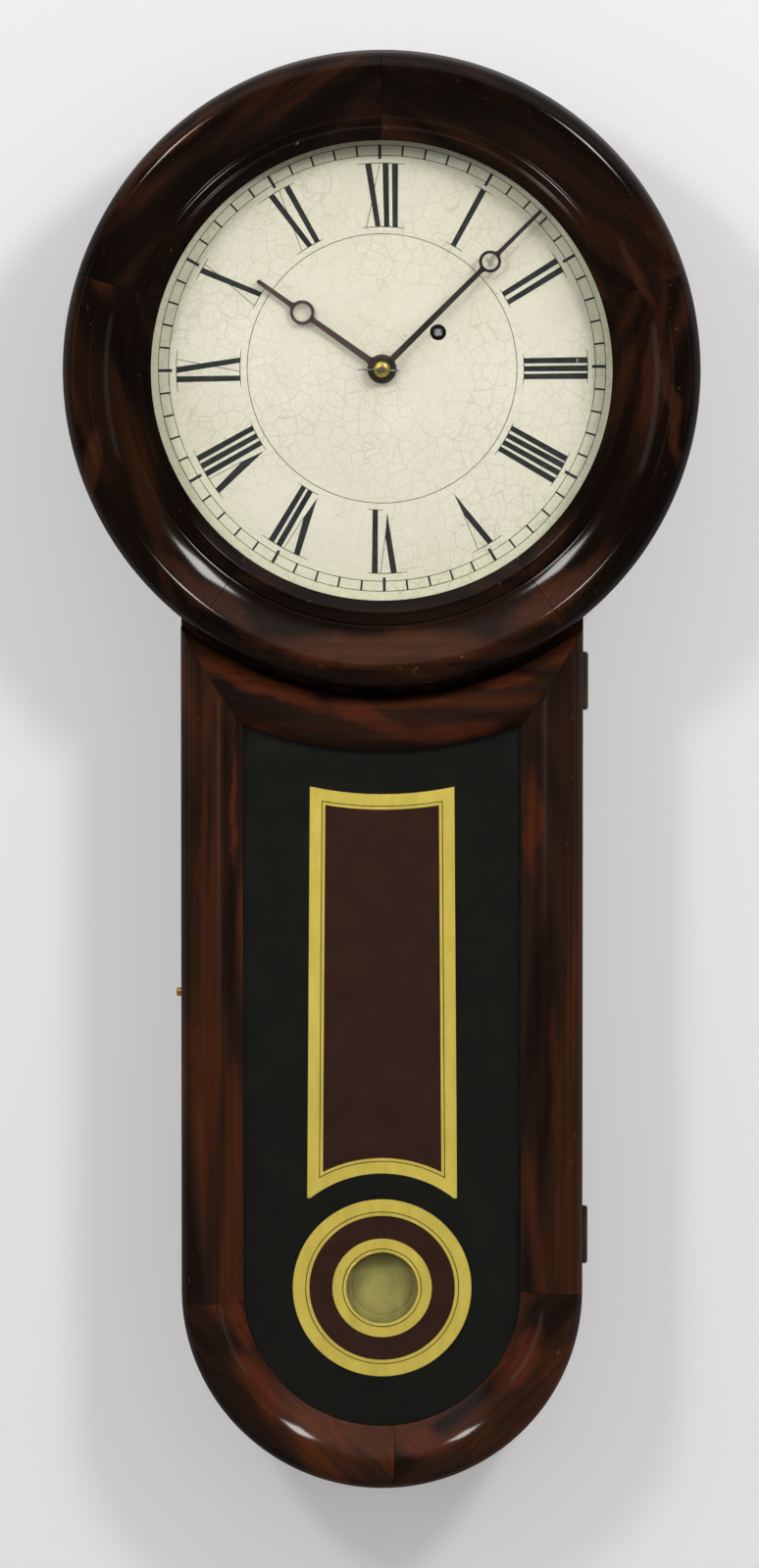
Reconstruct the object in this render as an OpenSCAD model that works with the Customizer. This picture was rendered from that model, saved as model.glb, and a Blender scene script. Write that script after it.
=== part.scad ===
// Wall regulator clock with a round head, a long rounded trunk and a painted glass door.
// Weight-driven eight-day movement, 80 beats a minute. Millimetres, +Z up, front faces -Y.
// The origin is the centre of the hanger hole, in the plane of the wall.

/* [Case] */
// Height of the hanger hole above the centre of the dial
hang_h = 130; // [125:1:135]
// Outer radius of the head drum
drum_r = 168; // [166:1:169]
// Wall of the head drum
drum_wall = 12; // [9:1:12]
// Half width of the trunk
trunk_hw = 110.8; // [108:0.2:112]
// Wall of the trunk sides
trunk_wall = 10; // [8:1:10]
// Depth of head and trunk, from the wall to the closing plane of the doors
case_d = 78; // [78:1:79]
// Thickness of the back board
board_t = 12; // [10:1:12]
// Depth of the window centre below the centre of the dial
window_drop = 510.5; // [505:0.5:515]
// Radius of the hole for the hanging screw
hanger_r = 4; // [3:0.5:5]

/* [Bezel] */
// Outer radius of the bezel
bezel_r = 175; // [174:1:176]
// Radius of the sight opening over the dial
sight_r = 128; // [127:0.5:129]
// Front of the bezel crest, from the wall
bezel_front = 118; // [116:1:120]

/* [Trunk door] */
// Width of the door rails
rail_w = 34; // [33:0.5:35]
// Front of the rail crest, from the wall
rail_front = 98; // [96:1:98]
// Outer radius of the curved top rail, about the dial centre
top_rail_r = 180.5; // [180:0.5:182]
// Inner radius of the curved top rail
top_sight_r = 211; // [210:0.5:213]
// Thickness of the window glass in both doors
glass_t = 2.5; // [2:0.1:3]

/* [Dial and hands] */
// Radius of the painted dial
dial_r = 139.7; // [138:0.1:141]
// Position of the winding square across the dial
wind_x = 30.8; // [30.6:0.1:31]
// Position of the winding square above the centre
wind_z = 19.9; // [19.7:0.1:20.1]
// Angle of the minute hand from twelve
minute_angle = 45; // [0:1:359]
// Angle of the hour hand from twelve
hour_angle = 305.3; // [0:0.1:359]
// Length of the minute hand
minute_len = 124; // [118:1:125]
// Length of the hour hand
hour_len = 85; // [80:1:88]

/* [Movement] */
// Front face of the back plate, from the wall
back_plate_y = 18.5; // [18.5:0.5:19]
// Thickness of both plates
plate_t = 2.5; // [2:0.1:2.5]
// Clear height between the plates
plate_gap = 31.5; // [31.5:0.5:32]
// Teeth of the great wheel
great_teeth = 128; // [128]
// Teeth of the centre wheel
centre_teeth = 80; // [80]
// Teeth of the third wheel
third_teeth = 64; // [64]
// Leaves of the train pinions
leaves = 8; // [8]
// Teeth of the escape wheel
escape_teeth = 30; // [30]
// Tooth module of the centre wheel
centre_mod = 0.5; // [0.5]
// Tooth module of the third wheel
third_mod = 0.45; // [0.45]
// Direction of the third arbor from the centre
third_dir = 126.3; // [126:0.1:127]
// Direction of the escape arbor from the third arbor
escape_dir = 75.7; // [75:0.1:76]
// Outer radius of the escape wheel
escape_r = 14; // [13.8:0.1:14]

/* [Pendulum and weight] */
// Radius of the bob
bob_r = 32; // [28:1:34]
// Thickness of the bob
bob_t = 19; // [16:1:19]
// Width of the pendulum stick
stick_w = 8; // [7:0.5:8]
// Width of the weight
weight_w = 60; // [50:1:64]
// Height of the weight
weight_h = 190; // [170:5:200]
// Front to back depth of the weight
weight_d = 26; // [22:1:26]
// Centre of the pulley below the dial, with the clock run down
pulley_drop = 380; // [370:5:385]
// Pitch radius of the line on the barrel
barrel_pitch_r = 8.4; // [8.4]

/* [Hidden] */
$fn = 96;
eps = 0.05;
wood = "#2a1510";
old_wood = "#5b3a22";
brass = "#b5964a";
steel = "#3c3f46";
clear = [0.8, 0.88, 0.86, 0.35];
door_gap = 0.4;
door_y = case_d + door_gap;

// Trunk
trunk_in = trunk_hw - trunk_wall;
low_z = -window_drop;
drum_in = drum_r - drum_wall;
throat_r = 190;
bezel_stud_x = drum_r - drum_wall / 2;

// Dial layers
dial_back = 83;
dial_t = 2;
dial_front = dial_back + dial_t;

// Movement layers
plate_z0 = -30;
plate_z1 = 70;
plate_x0 = -42;
plate_x1 = 72;
back_rear = back_plate_y - plate_t;
front_rear = back_plate_y + plate_gap;
front_face = front_rear + plate_t;
great_mod = 2 * norm([wind_x, wind_z]) / (great_teeth + leaves);
third_c = (centre_teeth + leaves) * centre_mod / 2;
third_x = third_c * cos(third_dir);
third_z = third_c * sin(third_dir);
escape_c = (third_teeth + leaves) * third_mod / 2;
escape_x = third_x + escape_c * cos(escape_dir);
escape_z = third_z + escape_c * sin(escape_dir);
pallet_c = escape_r * sqrt(2);
pallet_z = escape_z + sqrt(pallet_c * pallet_c - escape_x * escape_x);
line_x = wind_x - barrel_pitch_r;
line_r = 0.8;
line_y = 30;

// Stacks the movement's layers, as distances from the wall
drum_y0 = 21;
drum_y1 = 39;
ratchet_y = 39.3;
great_y = 41.5;
centre_wheel_y = 25;
third_wheel_y = 33.5;
escape_y = 45.7;
wheel_t = 1.6;
run = 0.04;

// Pendulum
stick_y = 58;
stick_t = 4;
stick_top = pallet_z - 14;
bob_z = -window_drop + 0.5;
bob_y = stick_y + stick_t / 2;
loop_in = 6.6;
loop_out = 9.6;

// Hinges
hinge_r = 2.2;
hinge_pin_r = 0.9;
leaf_t = 1;
hinge_y = case_d + door_gap / 2;
trunk_hinge_x = trunk_hw + 0.6;
bezel_hinge_x = drum_r + 2.7;
trunk_hinge_z = [-173, -480.8];
bezel_hinge_z = 0;
trunk_hinge_len = 30.4;
knuckles = 5;
knuckle_gap = 0.15;

// Latch
latch_z = -347.8;
latch_y = 62;
leaf_foot_z = -300;
leaf_x = -95;

// Screws, as distances from the dial centre
hanger_screw_z = [hang_h - 20, hang_h - 32];
dial_screws = [[-131, 30], [131, 30], [-100, -88], [100, -88]];

// Bezel section: crest, the roll on its inner side, the valley of the cove and the ridge round the dial
crest_r = 164;
crest_side = 103;
crest_roll = 8.5;
crest_turn = 38;
valley_r = 141;
ridge_r = 133.2;
ridge_front = 109.7;

// Trunk door: crest above the closing plane, half width of the opening, ends of the mitres
crest_v = rail_front - door_y;
inner_hw = trunk_hw - rail_w;
outer_z = -sqrt(top_rail_r * top_rail_r - trunk_hw * trunk_hw);
inner_z = -sqrt(top_sight_r * top_sight_r - inner_hw * inner_hw);

// Painted glass: rear face of the glass, film behind it
tablet_y = door_y + 5 - glass_t;
paint_t = 0.2;
paint_gap = 0.05;

// Painted panel on the glass
panel_top_hw = 39.8;
panel_foot_hw = 41.4;
panel_top_z = -231.5;
panel_foot_z = -460.4;
panel_arc_r = 186;
panel_foot_r = 63.9;
band_w = 8.5;
line_in = 6.7;
line_w = 0.5;

// Latch: push button, leaf of the spring, depth of its barb
button_r = 2.4;
button_out = 3.5;
leaf_w = 8;
leaf_th = 0.7;
barb_y = 74;

// Hands
arbor_r = 1.5;
pin_r = 0.5;
pin_y = 96;

// Plates and pivots
pillar_at = [[plate_x0 + 8, plate_z0 + 8], [plate_x1 - 8, plate_z0 + 8],
  [plate_x0 + 8, plate_z1 - 8], [plate_x1 - 8, plate_z1 - 8]];
pivot_r = 0.6;
wind_r = 3;
ratchet_teeth = 40;
ratchet_r = 10.5;
click_at = [17, 8];

// Motion work: minute wheel stud, bore of the pipes
pipe_r = 2.6;
great_dir = atan2(-wind_z, -wind_x);
stud_c = (42 + 14) * 0.6 / 2;
stud_dir = 199.8;
stud_x = stud_c * cos(stud_dir);
stud_z = stud_c * sin(stud_dir);
great_phase = great_dir;
centre_pinion_phase = mesh(great_teeth, great_phase, great_dir, leaves);
third_pinion_phase = mesh(centre_teeth, 0, third_dir, leaves);
escape_pinion_phase = mesh(third_teeth, 0, escape_dir, leaves);
minute_wheel_phase = mesh(14, 0, stud_dir, 42);
hour_wheel_phase = mesh(12, 0, stud_dir + 180, 48);

// Escapement and crutch
pallet_dir = atan2(escape_z - pallet_z, escape_x);
arm_half = 58;
fork_drop = 29;
slit = 1.2;
bob_flat = 18.5;

// Weight and pulley
weight_top = -pulley_drop - 30;
weight_y = 29;
pulley_r = line_x;
groove_r = pulley_r - line_r;

// Moves from the dial centre to the hanger hole
module hung() { translate([0, 0, -hang_h]) children(); }

// Extrudes an outline drawn in x and z, from depth a to depth b in front of the wall
module slab(a, b) { translate([0, -a, 0]) rotate([90, 0, 0]) linear_extrude(b - a) children(); }

// Revolves a profile drawn as radius and depth about the line from the dial centre to the front
module turned() { rotate([90, 0, 0]) rotate_extrude($fn = 180) children(); }

// Round bar along y, centred at x and z
module bar(x, z, r, a, b) { translate([x, -a, z]) rotate([90, 0, 0]) cylinder(r = r, h = b - a); }

// Points of an arc, from angle a to angle b in n steps
function arc(cx, cy, r, a, b, n) =
  [for (i = [0:n]) [cx + r * cos(a + (b - a) * i / n), cy + r * sin(a + (b - a) * i / n)]];

// Keyhole outline of the case: round head, straight trunk, half-round foot
module keyhole(head, half) {
  circle(r = head, $fn = 180);
  translate([-half, low_z]) square([2 * half, -low_z]);
  translate([0, low_z]) circle(r = half);
}

module back_board() {
  color(old_wood) hung() difference() {
    slab(0, board_t) keyhole(drum_in, trunk_in);
    hanger_pocket(2);
    bar(0, hang_h, 9, 2 - eps, board_t + 1);
    for (z = hanger_screw_z) bar(0, z, 1.65, 0, 8);
  }
}

module hanger_outline() {
  translate([0, hang_h]) circle(r = 14);
  translate([-9, hang_h - 38]) square([18, 38]);
}

module hanger_pocket(t) { slab(-1, t) hanger_outline(); }

module hanger_plate() {
  color(brass) hung() difference() {
    slab(0, 2) hanger_outline();
    bar(0, hang_h, hanger_r, -1, 3);
    for (z = hanger_screw_z) bar(0, z, 1.7, -1, 3);
  }
}

module head_drum() {
  color(wood) hung() difference() {
    slab(0, case_d) circle(r = drum_r, $fn = 180);
    slab(-1, case_d + 1) circle(r = drum_in, $fn = 180);
    slab(-1, case_d + 1) translate([-trunk_in, low_z]) square([2 * trunk_in, -low_z]);
    hinge_case_pockets();
    bar(-bezel_stud_x, 0, 2, 60, case_d + 1);
  }
}

module trunk_sides() {
  color(wood) hung() difference() {
    slab(0, case_d) trunk_outline();
    slab(-1, case_d + 1) circle(r = drum_r, $fn = 180);
    slab(-1, case_d + 1) {
      translate([-trunk_in, low_z]) square([2 * trunk_in, -low_z]);
      translate([0, low_z]) circle(r = trunk_in);
    }
    hinge_case_pockets();
    translate([-trunk_hw - 1, -latch_y, latch_z]) rotate([0, 90, 0])
      cylinder(r = button_r + run, h = trunk_wall + 2);
  }
}

module trunk_outline() {
  translate([-trunk_hw, low_z]) square([2 * trunk_hw, -low_z - 100]);
  translate([0, low_z]) circle(r = trunk_hw);
}

module throat_rail() {
  color(wood) hung() slab(case_d - 12, case_d) difference() {
    intersection() {
      circle(r = throat_r, $fn = 180);
      translate([-trunk_in, -throat_r]) square([2 * trunk_in, throat_r]);
    }
    circle(r = drum_in + 4, $fn = 180);
  }
}

module dial_board() {
  color(old_wood) hung() difference() {
    slab(case_d - 2, dial_back) circle(r = drum_in, $fn = 180);
    slab(case_d - 3, dial_back + 1) circle(r = 125, $fn = 180);
    for (p = dial_screws) bar(p[0], p[1], 1.2, dial_front - 5, dial_back + 1);
  }
}

module wood_screw(x, z, head_y, length, r) {
  bar(x, z, r / 2, head_y - length, head_y);
  bar(x, z, r, head_y, head_y + 1);
}

module screw_slot(x, z, y, r) { translate([x - r, -y - 0.5, z - 0.25]) cube([2 * r, 0.6, 0.5]); }

module case_screws() {
  color(steel) hung() {
    for (p = dial_screws) difference() {
      wood_screw(p[0], p[1], dial_front, 5, 2.4);
      screw_slot(p[0], p[1], dial_front + 0.6, 2.5);
    }
    for (z = hanger_screw_z) bar(0, z, 1.65, 0.1, 8);
  }
}

// Trunk door
// Section of the door rail: u runs inwards from the outer edge, v forwards from the back
function rail_section(w) = concat(
  [[0, 0], [w - 5, 0], [w - 5, 5], [w, 5], [w, 6.6]],
  [for (i = [1:8]) let (t = i / 9) [w - (w - 9) * t, 6.6 + (crest_v - 6.6) * sin(90 * t)]],
  arc(9, crest_v - 9, 9, 90, 180, 8));

// Outline of the door above the mitres when keep is 1, and below them when it is -1
module mitre_area(keep) {
  grow = (trunk_hw + 6 - inner_hw) / (trunk_hw - inner_hw);
  far_z = inner_z + (outer_z - inner_z) * grow;
  if (keep > 0)
    polygon([[-trunk_hw - 6, far_z], [-inner_hw, inner_z], [0, inner_z - 30], [inner_hw, inner_z],
      [trunk_hw + 6, far_z], [trunk_hw + 6, 0], [-trunk_hw - 6, 0]]);
  else
    polygon([[-trunk_hw - 6, far_z], [-inner_hw, inner_z], [0, inner_z + 30], [inner_hw, inner_z],
      [trunk_hw + 6, far_z], [trunk_hw + 6, low_z - 200], [-trunk_hw - 6, low_z - 200]]);
}

module side_rail() {
  translate([-trunk_hw, -door_y, low_z]) linear_extrude(-low_z - 100)
    polygon([for (p = rail_section(rail_w)) [p[0], -p[1]]]);
}

module top_rail() {
  w = top_sight_r - top_rail_r;
  translate([0, -door_y, 0]) rotate([90, 0, 0]) rotate_extrude(start = 220, angle = 100, $fn = 180)
    polygon([for (p = rail_section(w)) [top_rail_r + p[0], p[1]]]);
}

module foot_rail() {
  translate([0, -door_y, low_z]) rotate([90, 0, 0]) rotate_extrude(start = 180, angle = 180)
    polygon([for (p = rail_section(rail_w)) [trunk_hw - p[0], p[1]]]);
}

module trunk_door_frame() {
  color(wood) hung() difference() {
    union() {
      intersection() {
        union() {
          side_rail();
          mirror([1, 0, 0]) side_rail();
        }
        slab(door_y - 1, rail_front + 1) mitre_area(-1);
      }
      intersection() {
        top_rail();
        slab(door_y - 1, rail_front + 1) mitre_area(1);
      }
      foot_rail();
    }
    for (z = trunk_hinge_z) hinge_moving_pocket(trunk_hinge_x, z, trunk_hinge_len);
  }
}

// Outline of the glass in the trunk door, inset from the opening by g (negative runs under the rebate)
module tablet_outline(g) {
  intersection() {
    union() {
      translate([-inner_hw + g, low_z]) square([2 * (inner_hw - g), -low_z]);
      translate([0, low_z]) circle(r = inner_hw - g);
    }
    difference() {
      translate([-200, low_z - 200]) square([400, -low_z + 200]);
      circle(r = top_sight_r + g, $fn = 180);
    }
  }
}

module trunk_door_glass() {
  color(clear) hung() slab(tablet_y, tablet_y + glass_t - 0.05) tablet_outline(-4.6);
}

module glass_strips() {
  color(old_wood) hung() slab(door_y, tablet_y - paint_gap - paint_t - 0.05) difference() {
    tablet_outline(-4.9);
    tablet_outline(-1.5);
  }
}

// Painted design on the back of the glass

module window_ring(outer, inner) {
  translate([0, low_z]) difference() {
    circle(r = outer);
    circle(r = inner);
  }
}

// Long panel with a hollow top and foot, inset by g
module panel_outline(g) {
  grow = g / (panel_top_z - panel_foot_z) * (panel_foot_hw - panel_top_hw);
  difference() {
    polygon([[-panel_foot_hw + g, panel_foot_z], [panel_foot_hw - g, panel_foot_z],
      [panel_top_hw - g, panel_top_z], [-panel_top_hw + g, panel_top_z]]);
    translate([0, low_z]) circle(r = panel_foot_r + g);
    translate([0, panel_top_z + sqrt(panel_arc_r * panel_arc_r - panel_top_hw * panel_top_hw)])
      circle(r = panel_arc_r + g, $fn = 180);
  }
}

module gold_area() {
  difference() {
    panel_outline(0);
    panel_outline(band_w);
    difference() {
      panel_outline(line_in - line_w / 2);
      panel_outline(line_in + line_w / 2);
    }
  }
  window_ring(49.4, 42.6);
  window_ring(42.1, 40.3);
  window_ring(27.5, 22);
  window_ring(21.5, 19.9);
}

module maroon_area() {
  panel_outline(band_w);
  window_ring(40.3, 27.5);
}

module paint_film() { slab(tablet_y - paint_gap - paint_t, tablet_y - paint_gap) children(); }

module tablet_gold() { color("#d2be5a") hung() paint_film() gold_area(); }

module tablet_maroon() { color("#4a2019") hung() paint_film() maroon_area(); }

module tablet_black() {
  color("#161616") hung() paint_film() difference() {
    tablet_outline(-4.6);
    gold_area();
    maroon_area();
    translate([0, low_z]) circle(r = 19.9);
  }
}

// Hinges
// Butt hinge leaf with its own knuckles; side is 1 for the case leaf and -1 for the moving leaf
module hinge_leaf(x, z, length, width, side, first) {
  pitch = length / knuckles;
  y_near = hinge_y - side * 0.1;
  y_far = hinge_y - side * (0.1 + leaf_t);
  y_lo = min(y_near, y_far);
  difference() {
    union() {
      translate([x - width, -y_lo - leaf_t, z - length / 2])
        cube([width - hinge_r - knuckle_gap - 0.1, leaf_t, length]);
      for (i = [first:2:knuckles - 1]) {
        z0 = z - length / 2 + i * pitch + (i == 0 ? 0 : knuckle_gap / 2);
        h = pitch - (i == 0 || i == knuckles - 1 ? knuckle_gap / 2 : knuckle_gap);
        translate([x - width + 1, -y_lo - leaf_t, z0]) cube([width - 1, leaf_t, h]);
        translate([x, -hinge_y, z0]) cylinder(r = hinge_r, h = h);
      }
    }
    translate([x, -hinge_y, z - length]) cylinder(r = hinge_pin_r + run, h = 2 * length);
  }
}

module hinge_pin(x, z, length) {
  translate([x, -hinge_y, z - length / 2]) cylinder(r = hinge_pin_r, h = length);
  for (end = [0, 1]) translate([x, -hinge_y, z - length / 2 + end * (length + 0.8) - 0.8])
    cylinder(r = 1.6, h = 0.8);
}

module hinge_pocket(x, z, length, y0, y1) {
  translate([x, -hinge_y, z - length / 2 - 1.2]) cylinder(r = hinge_r + 0.25, h = length + 2.4);
  translate([x - 10.5, -y1, z - length / 2 - 0.05]) cube([10.5, y1 - y0, length + 0.1]);
}

module hinge_case_pocket(x, z, length) {
  hinge_pocket(x, z, length, hinge_y - 0.1 - leaf_t, case_d + 1);
}

module hinge_moving_pocket(x, z, length) {
  hinge_pocket(x, z, length, case_d, hinge_y + 0.1 + leaf_t);
}

module hinge_case_pockets() {
  for (z = trunk_hinge_z) hinge_case_pocket(trunk_hinge_x, z, trunk_hinge_len);
  hinge_case_pocket(bezel_hinge_x, bezel_hinge_z, trunk_hinge_len);
}

module hinge_case_leaves() {
  color(brass) hung() {
    for (z = trunk_hinge_z) hinge_leaf(trunk_hinge_x, z, trunk_hinge_len, 10.4, 1, 0);
    hinge_leaf(bezel_hinge_x, bezel_hinge_z, trunk_hinge_len, 10.4, 1, 0);
  }
}

module trunk_hinge_leaves() {
  color(brass) hung() for (z = trunk_hinge_z) hinge_leaf(trunk_hinge_x, z, trunk_hinge_len, 10.4, -1, 1);
}

module bezel_hinge_leaf() {
  color(brass) hung() hinge_leaf(bezel_hinge_x, bezel_hinge_z, trunk_hinge_len, 10.4, -1, 1);
}

module hinge_pins() {
  color(steel) hung() {
    for (z = trunk_hinge_z) hinge_pin(trunk_hinge_x, z, trunk_hinge_len);
    hinge_pin(bezel_hinge_x, bezel_hinge_z, trunk_hinge_len);
  }
}

// Latch of the trunk door
module latch_button() {
  color(brass) hung() translate([0, -latch_y, latch_z]) rotate([0, 90, 0]) {
    translate([0, 0, -trunk_hw - button_out]) cylinder(r1 = button_r - 0.9, r2 = button_r, h = 0.9);
    translate([0, 0, -trunk_hw - button_out + 0.9])
      cylinder(r = button_r, h = trunk_hw + button_out - 0.9 + leaf_x - 0.15);
  }
}

module catch_foot() {
  color(brass) hung() {
    translate([-trunk_in, -latch_y - leaf_w / 2, leaf_foot_z + 0.3]) cube([leaf_x + trunk_in, leaf_w, 16]);
    translate([leaf_x, -latch_y - leaf_w / 2, leaf_foot_z + 0.3]) cube([leaf_th, leaf_w, 16]);
    for (z = [4, 12]) translate([leaf_x + leaf_th, -latch_y, leaf_foot_z + z]) rotate([0, 90, 0])
      cylinder(r1 = 2, r2 = 1.4, h = 0.8);
  }
}

module catch_spring() {
  color(brass) hung() {
    translate([leaf_x, -latch_y - leaf_w / 2, leaf_foot_z - 58]) cube([leaf_th, leaf_w, 58]);
    translate([leaf_x, -barb_y, leaf_foot_z - 58]) cube([leaf_th, barb_y - latch_y, 7]);
    translate([leaf_x - 1.8, -barb_y, leaf_foot_z - 58]) cube([1.9, 1.2, 7]);
  }
}

module door_strike() {
  color(brass) hung() {
    translate([-99.6, -door_y, leaf_foot_z - 61]) cube([13, 1, 13]);
    translate([-99.6, -door_y, leaf_foot_z - 57.5]) cube([1, door_y - 69, 6]);
    translate([-99.6, -72, leaf_foot_z - 57.5]) cube([3.2, 1, 6]);
  }
}

// Bezel
// Section of the bezel as radius and depth, once round from the back outer edge
function bezel_section() = let (
    cove_r = crest_r - crest_roll * sin(crest_turn),
    cove_y = bezel_front - crest_roll * (1 - cos(crest_turn)))
  concat(
    [[bezel_r, door_y], [bezel_r, crest_side]],
    [for (i = [1:10]) [crest_r + (bezel_r - crest_r) * cos(9 * i), crest_side + (bezel_front - crest_side) * sin(9 * i)]],
    [for (i = [1:4]) let (a = crest_turn * i / 4) [crest_r - crest_roll * sin(a), bezel_front - crest_roll * (1 - cos(a))]],
    [for (i = [1:8]) let (s = (cove_r - valley_r) * i / 8) [cove_r - s, cove_y - 0.78 * s + 0.0135 * s * s]],
    [[140.3, 106.45], [139.6, 106.75], [134.3, ridge_front - 0.4], [ridge_r, ridge_front], [132.2, ridge_front - 0.4],
     [130, 107.4], [sight_r + 0.4, 105.7], [sight_r, 104.8], [sight_r, 103],
     [134.5, 103], [134.5, 97], [138, 90], [158.6, 90], [158.6, door_y]]);

module bezel_ring() {
  color(wood) hung() difference() {
    turned() polygon(bezel_section());
    hinge_moving_pocket(bezel_hinge_x, bezel_hinge_z, trunk_hinge_len);
    bar(-bezel_stud_x, 0, 1.5, door_y - 1, door_y + 8);
  }
}

module bezel_glass() { color(clear) hung() bar(0, 0, 134.2, 100.5, 102.95); }

module bezel_putty() {
  color("#b9a98c") hung() turned() polygon([[130.5, 100.45], [134.45, 100.45], [134.45, 97.6]]);
}

module bezel_stud() {
  color(brass) hung() {
    bar(-bezel_stud_x, 0, 1.45, 70, door_y + 7);
    translate([-bezel_stud_x, -70, 0]) sphere(r = 1.8);
  }
}

// Dial and hands
module dial_pan() {
  color("#dedac8") hung() slab(dial_back, dial_front) difference() {
    circle(r = dial_r, $fn = 180);
    circle(r = 5.5);
    translate([wind_x, wind_z]) circle(r = 4.5);
    for (p = dial_screws) translate(p) circle(r = 1.3);
  }
}

// Hand with an open ring near the tip; the arm tapers from the hub to the ring and on to the tip
module hand_outline(hub, bore, at, ring_out, ring_in, length) {
  difference() {
    union() {
      circle(r = hub);
      polygon([[-1.5, 0], [1.5, 0], [1, at - ring_in - 0.5], [-1, at - ring_in - 0.5]]);
      polygon([[-0.9, at + ring_in + 0.3], [0.9, at + ring_in + 0.3], [0.6, length - 1.5], [0, length],
        [-0.6, length - 1.5]]);
      translate([0, at]) circle(r = ring_out);
    }
    circle(r = bore);
    translate([0, at]) circle(r = ring_in);
  }
}

module hour_hand() {
  color(steel) hung() slab(88, 89) rotate(-hour_angle) hand_outline(8.1, 4, 54.8, 6.7, 5.2, hour_len);
}

module minute_hand() {
  color(steel) hung() slab(91.5, 92.4) rotate(-minute_angle)
    hand_outline(6.9, arbor_r, 84.6, 6, 4.6, minute_len);
}

module hand_collet() {
  color(brass) hung() difference() {
    turned() polygon(concat([[0, 92.4], [4.5, 92.4]],
      [for (i = [1:6]) [arbor_r + 3 * cos(15 * i), 93 + 2.2 * sin(15 * i)]], [[0, 95.2]]));
    bar(0, 0, arbor_r, 92, 96);
  }
}

module taper_pin() {
  translate([-13.6, -pin_y, 0.4]) rotate([0, 91.5, 0]) cylinder(r1 = pin_r * 0.7, r2 = pin_r, h = 23.5);
}

module hand_pin() { color(steel) hung() taper_pin(); }

// Gearing
// Points of a toothed wheel; width and tip are fractions of the tooth pitch, root narrows a leaf's foot
function toothed(n, r, addendum, dedendum, width, tip, root) = [
  for (i = [0:n - 1]) let (p = 360 / n, h = width * p / 2)
    for (q = [[-h * root, r - dedendum], [-h, r], [-h * tip, r + addendum],
              [h * tip, r + addendum], [h, r], [h * root, r - dedendum]])
      [q[1] * cos(i * p + q[0]), q[1] * sin(i * p + q[0])]];

function wheel_points(n, m) = toothed(n, n * m / 2, 0.95 * m, 1.3 * m, 0.44, 0.28, 1.05);
function leaf_points(n, m) = toothed(n, n * m / 2, 0.5 * m, 1.25 * m, 0.3, 0.5, 0.8);

// Angle that puts a second gear's gap on the first gear's tooth
function mesh(n1, phase1, toward, n2) = toward + 180 + (180 - n1 * (phase1 - toward)) / n2;

module crossings(outer, inner, spokes, width) {
  difference() {
    circle(r = outer);
    circle(r = inner);
    for (i = [0:spokes - 1]) rotate(i * 360 / spokes) translate([0, -width / 2]) square([outer + 1, width]);
  }
}

module spoked_wheel(n, m, phase, spokes, bore, at_y) {
  slab(at_y, at_y + wheel_t) difference() {
    rotate(phase) polygon(wheel_points(n, m));
    crossings(n * m / 2 - 3 * m - 1.2, 4.5, spokes, 2);
    circle(r = bore);
  }
}

module pinion(n, m, phase, bore, a, b) {
  slab(a, b) difference() {
    rotate(phase) polygon(leaf_points(n, m));
    if (bore > 0) circle(r = bore);
  }
}

module at(x, z) { translate([x, 0, z]) children(); }

// Arbor between the plates with its two pivots; r is the body, p the pivot
module arbor(r, p) {
  bar(0, 0, r, back_plate_y + 0.3, front_rear - 0.3);
  bar(0, 0, p, back_rear + 0.2, front_face - 0.1);
}

// Plates

module plate_outline() {
  difference() {
    union() {
      translate([plate_x0 + 6, plate_z0]) square([plate_x1 - plate_x0 - 12, plate_z1 - plate_z0]);
      translate([plate_x0, plate_z0 + 6]) square([plate_x1 - plate_x0, plate_z1 - plate_z0 - 12]);
      for (x = [plate_x0 + 6, plate_x1 - 6]) for (z = [plate_z0 + 6, plate_z1 - 6])
        translate([x, z]) circle(r = 6);
    }
    for (p = pillar_at) translate(p) circle(r = 2.5);
    circle(r = arbor_r + run);
    translate([wind_x, wind_z]) circle(r = wind_r + run);
    translate([third_x, third_z]) circle(r = pivot_r + run);
    translate([escape_x, escape_z]) circle(r = pivot_r + run);
    translate([0, pallet_z]) circle(r = pivot_r + run);
  }
}

module back_plate() {
  color(brass) hung() {
    slab(back_rear, back_plate_y) plate_outline();
    bar(-line_x, plate_z0 + 5, 2.5, back_plate_y, line_y + 3);
    bar(-line_x, plate_z0 + 5, 4, line_y + 3, line_y + 4.5);
  }
}

module front_plate() {
  color(brass) hung() {
    slab(front_rear, front_face) plate_outline();
    at(stud_x, stud_z) {
      bar(0, 0, 2.4, front_face, 67.8);
      bar(0, 0, 1.4, 67.8, 76);
    }
  }
}

module plate_pillars() {
  color(brass) hung() for (p = pillar_at) {
    bar(p[0], p[1], 6, board_t, back_rear);
    bar(p[0], p[1], 2.5, back_rear, back_plate_y);
    translate([p[0], 0, p[1]]) turned() polygon([[0, back_plate_y], [4.5, back_plate_y], [4.5, 22], [3.4, 24],
      [3.4, 32], [4.2, 34], [4.2, 35.5], [3.4, 37.5], [3.4, 45.5], [4.5, 47.5], [4.5, front_rear], [0, front_rear]]);
    bar(p[0], p[1], 2.5, front_rear, front_face);
  }
}

module plate_screws() {
  color(steel) hung() for (p = pillar_at) difference() {
    bar(p[0], p[1], 4, front_face, front_face + 1.8);
    screw_slot(p[0], p[1], front_face + 1.4, 4.2);
  }
}

// Winding
module barrel() {
  color(brass) hung() at(wind_x, wind_z) difference() {
    turned() polygon(concat([[wind_r, drum_y0], [12, drum_y0], [12, drum_y0 + 1.2], [7.6, drum_y0 + 1.2]],
      [[7.6, drum_y1 - 1.2], [12, drum_y1 - 1.2], [12, drum_y1], [wind_r, drum_y1]]));
  }
}

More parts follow.
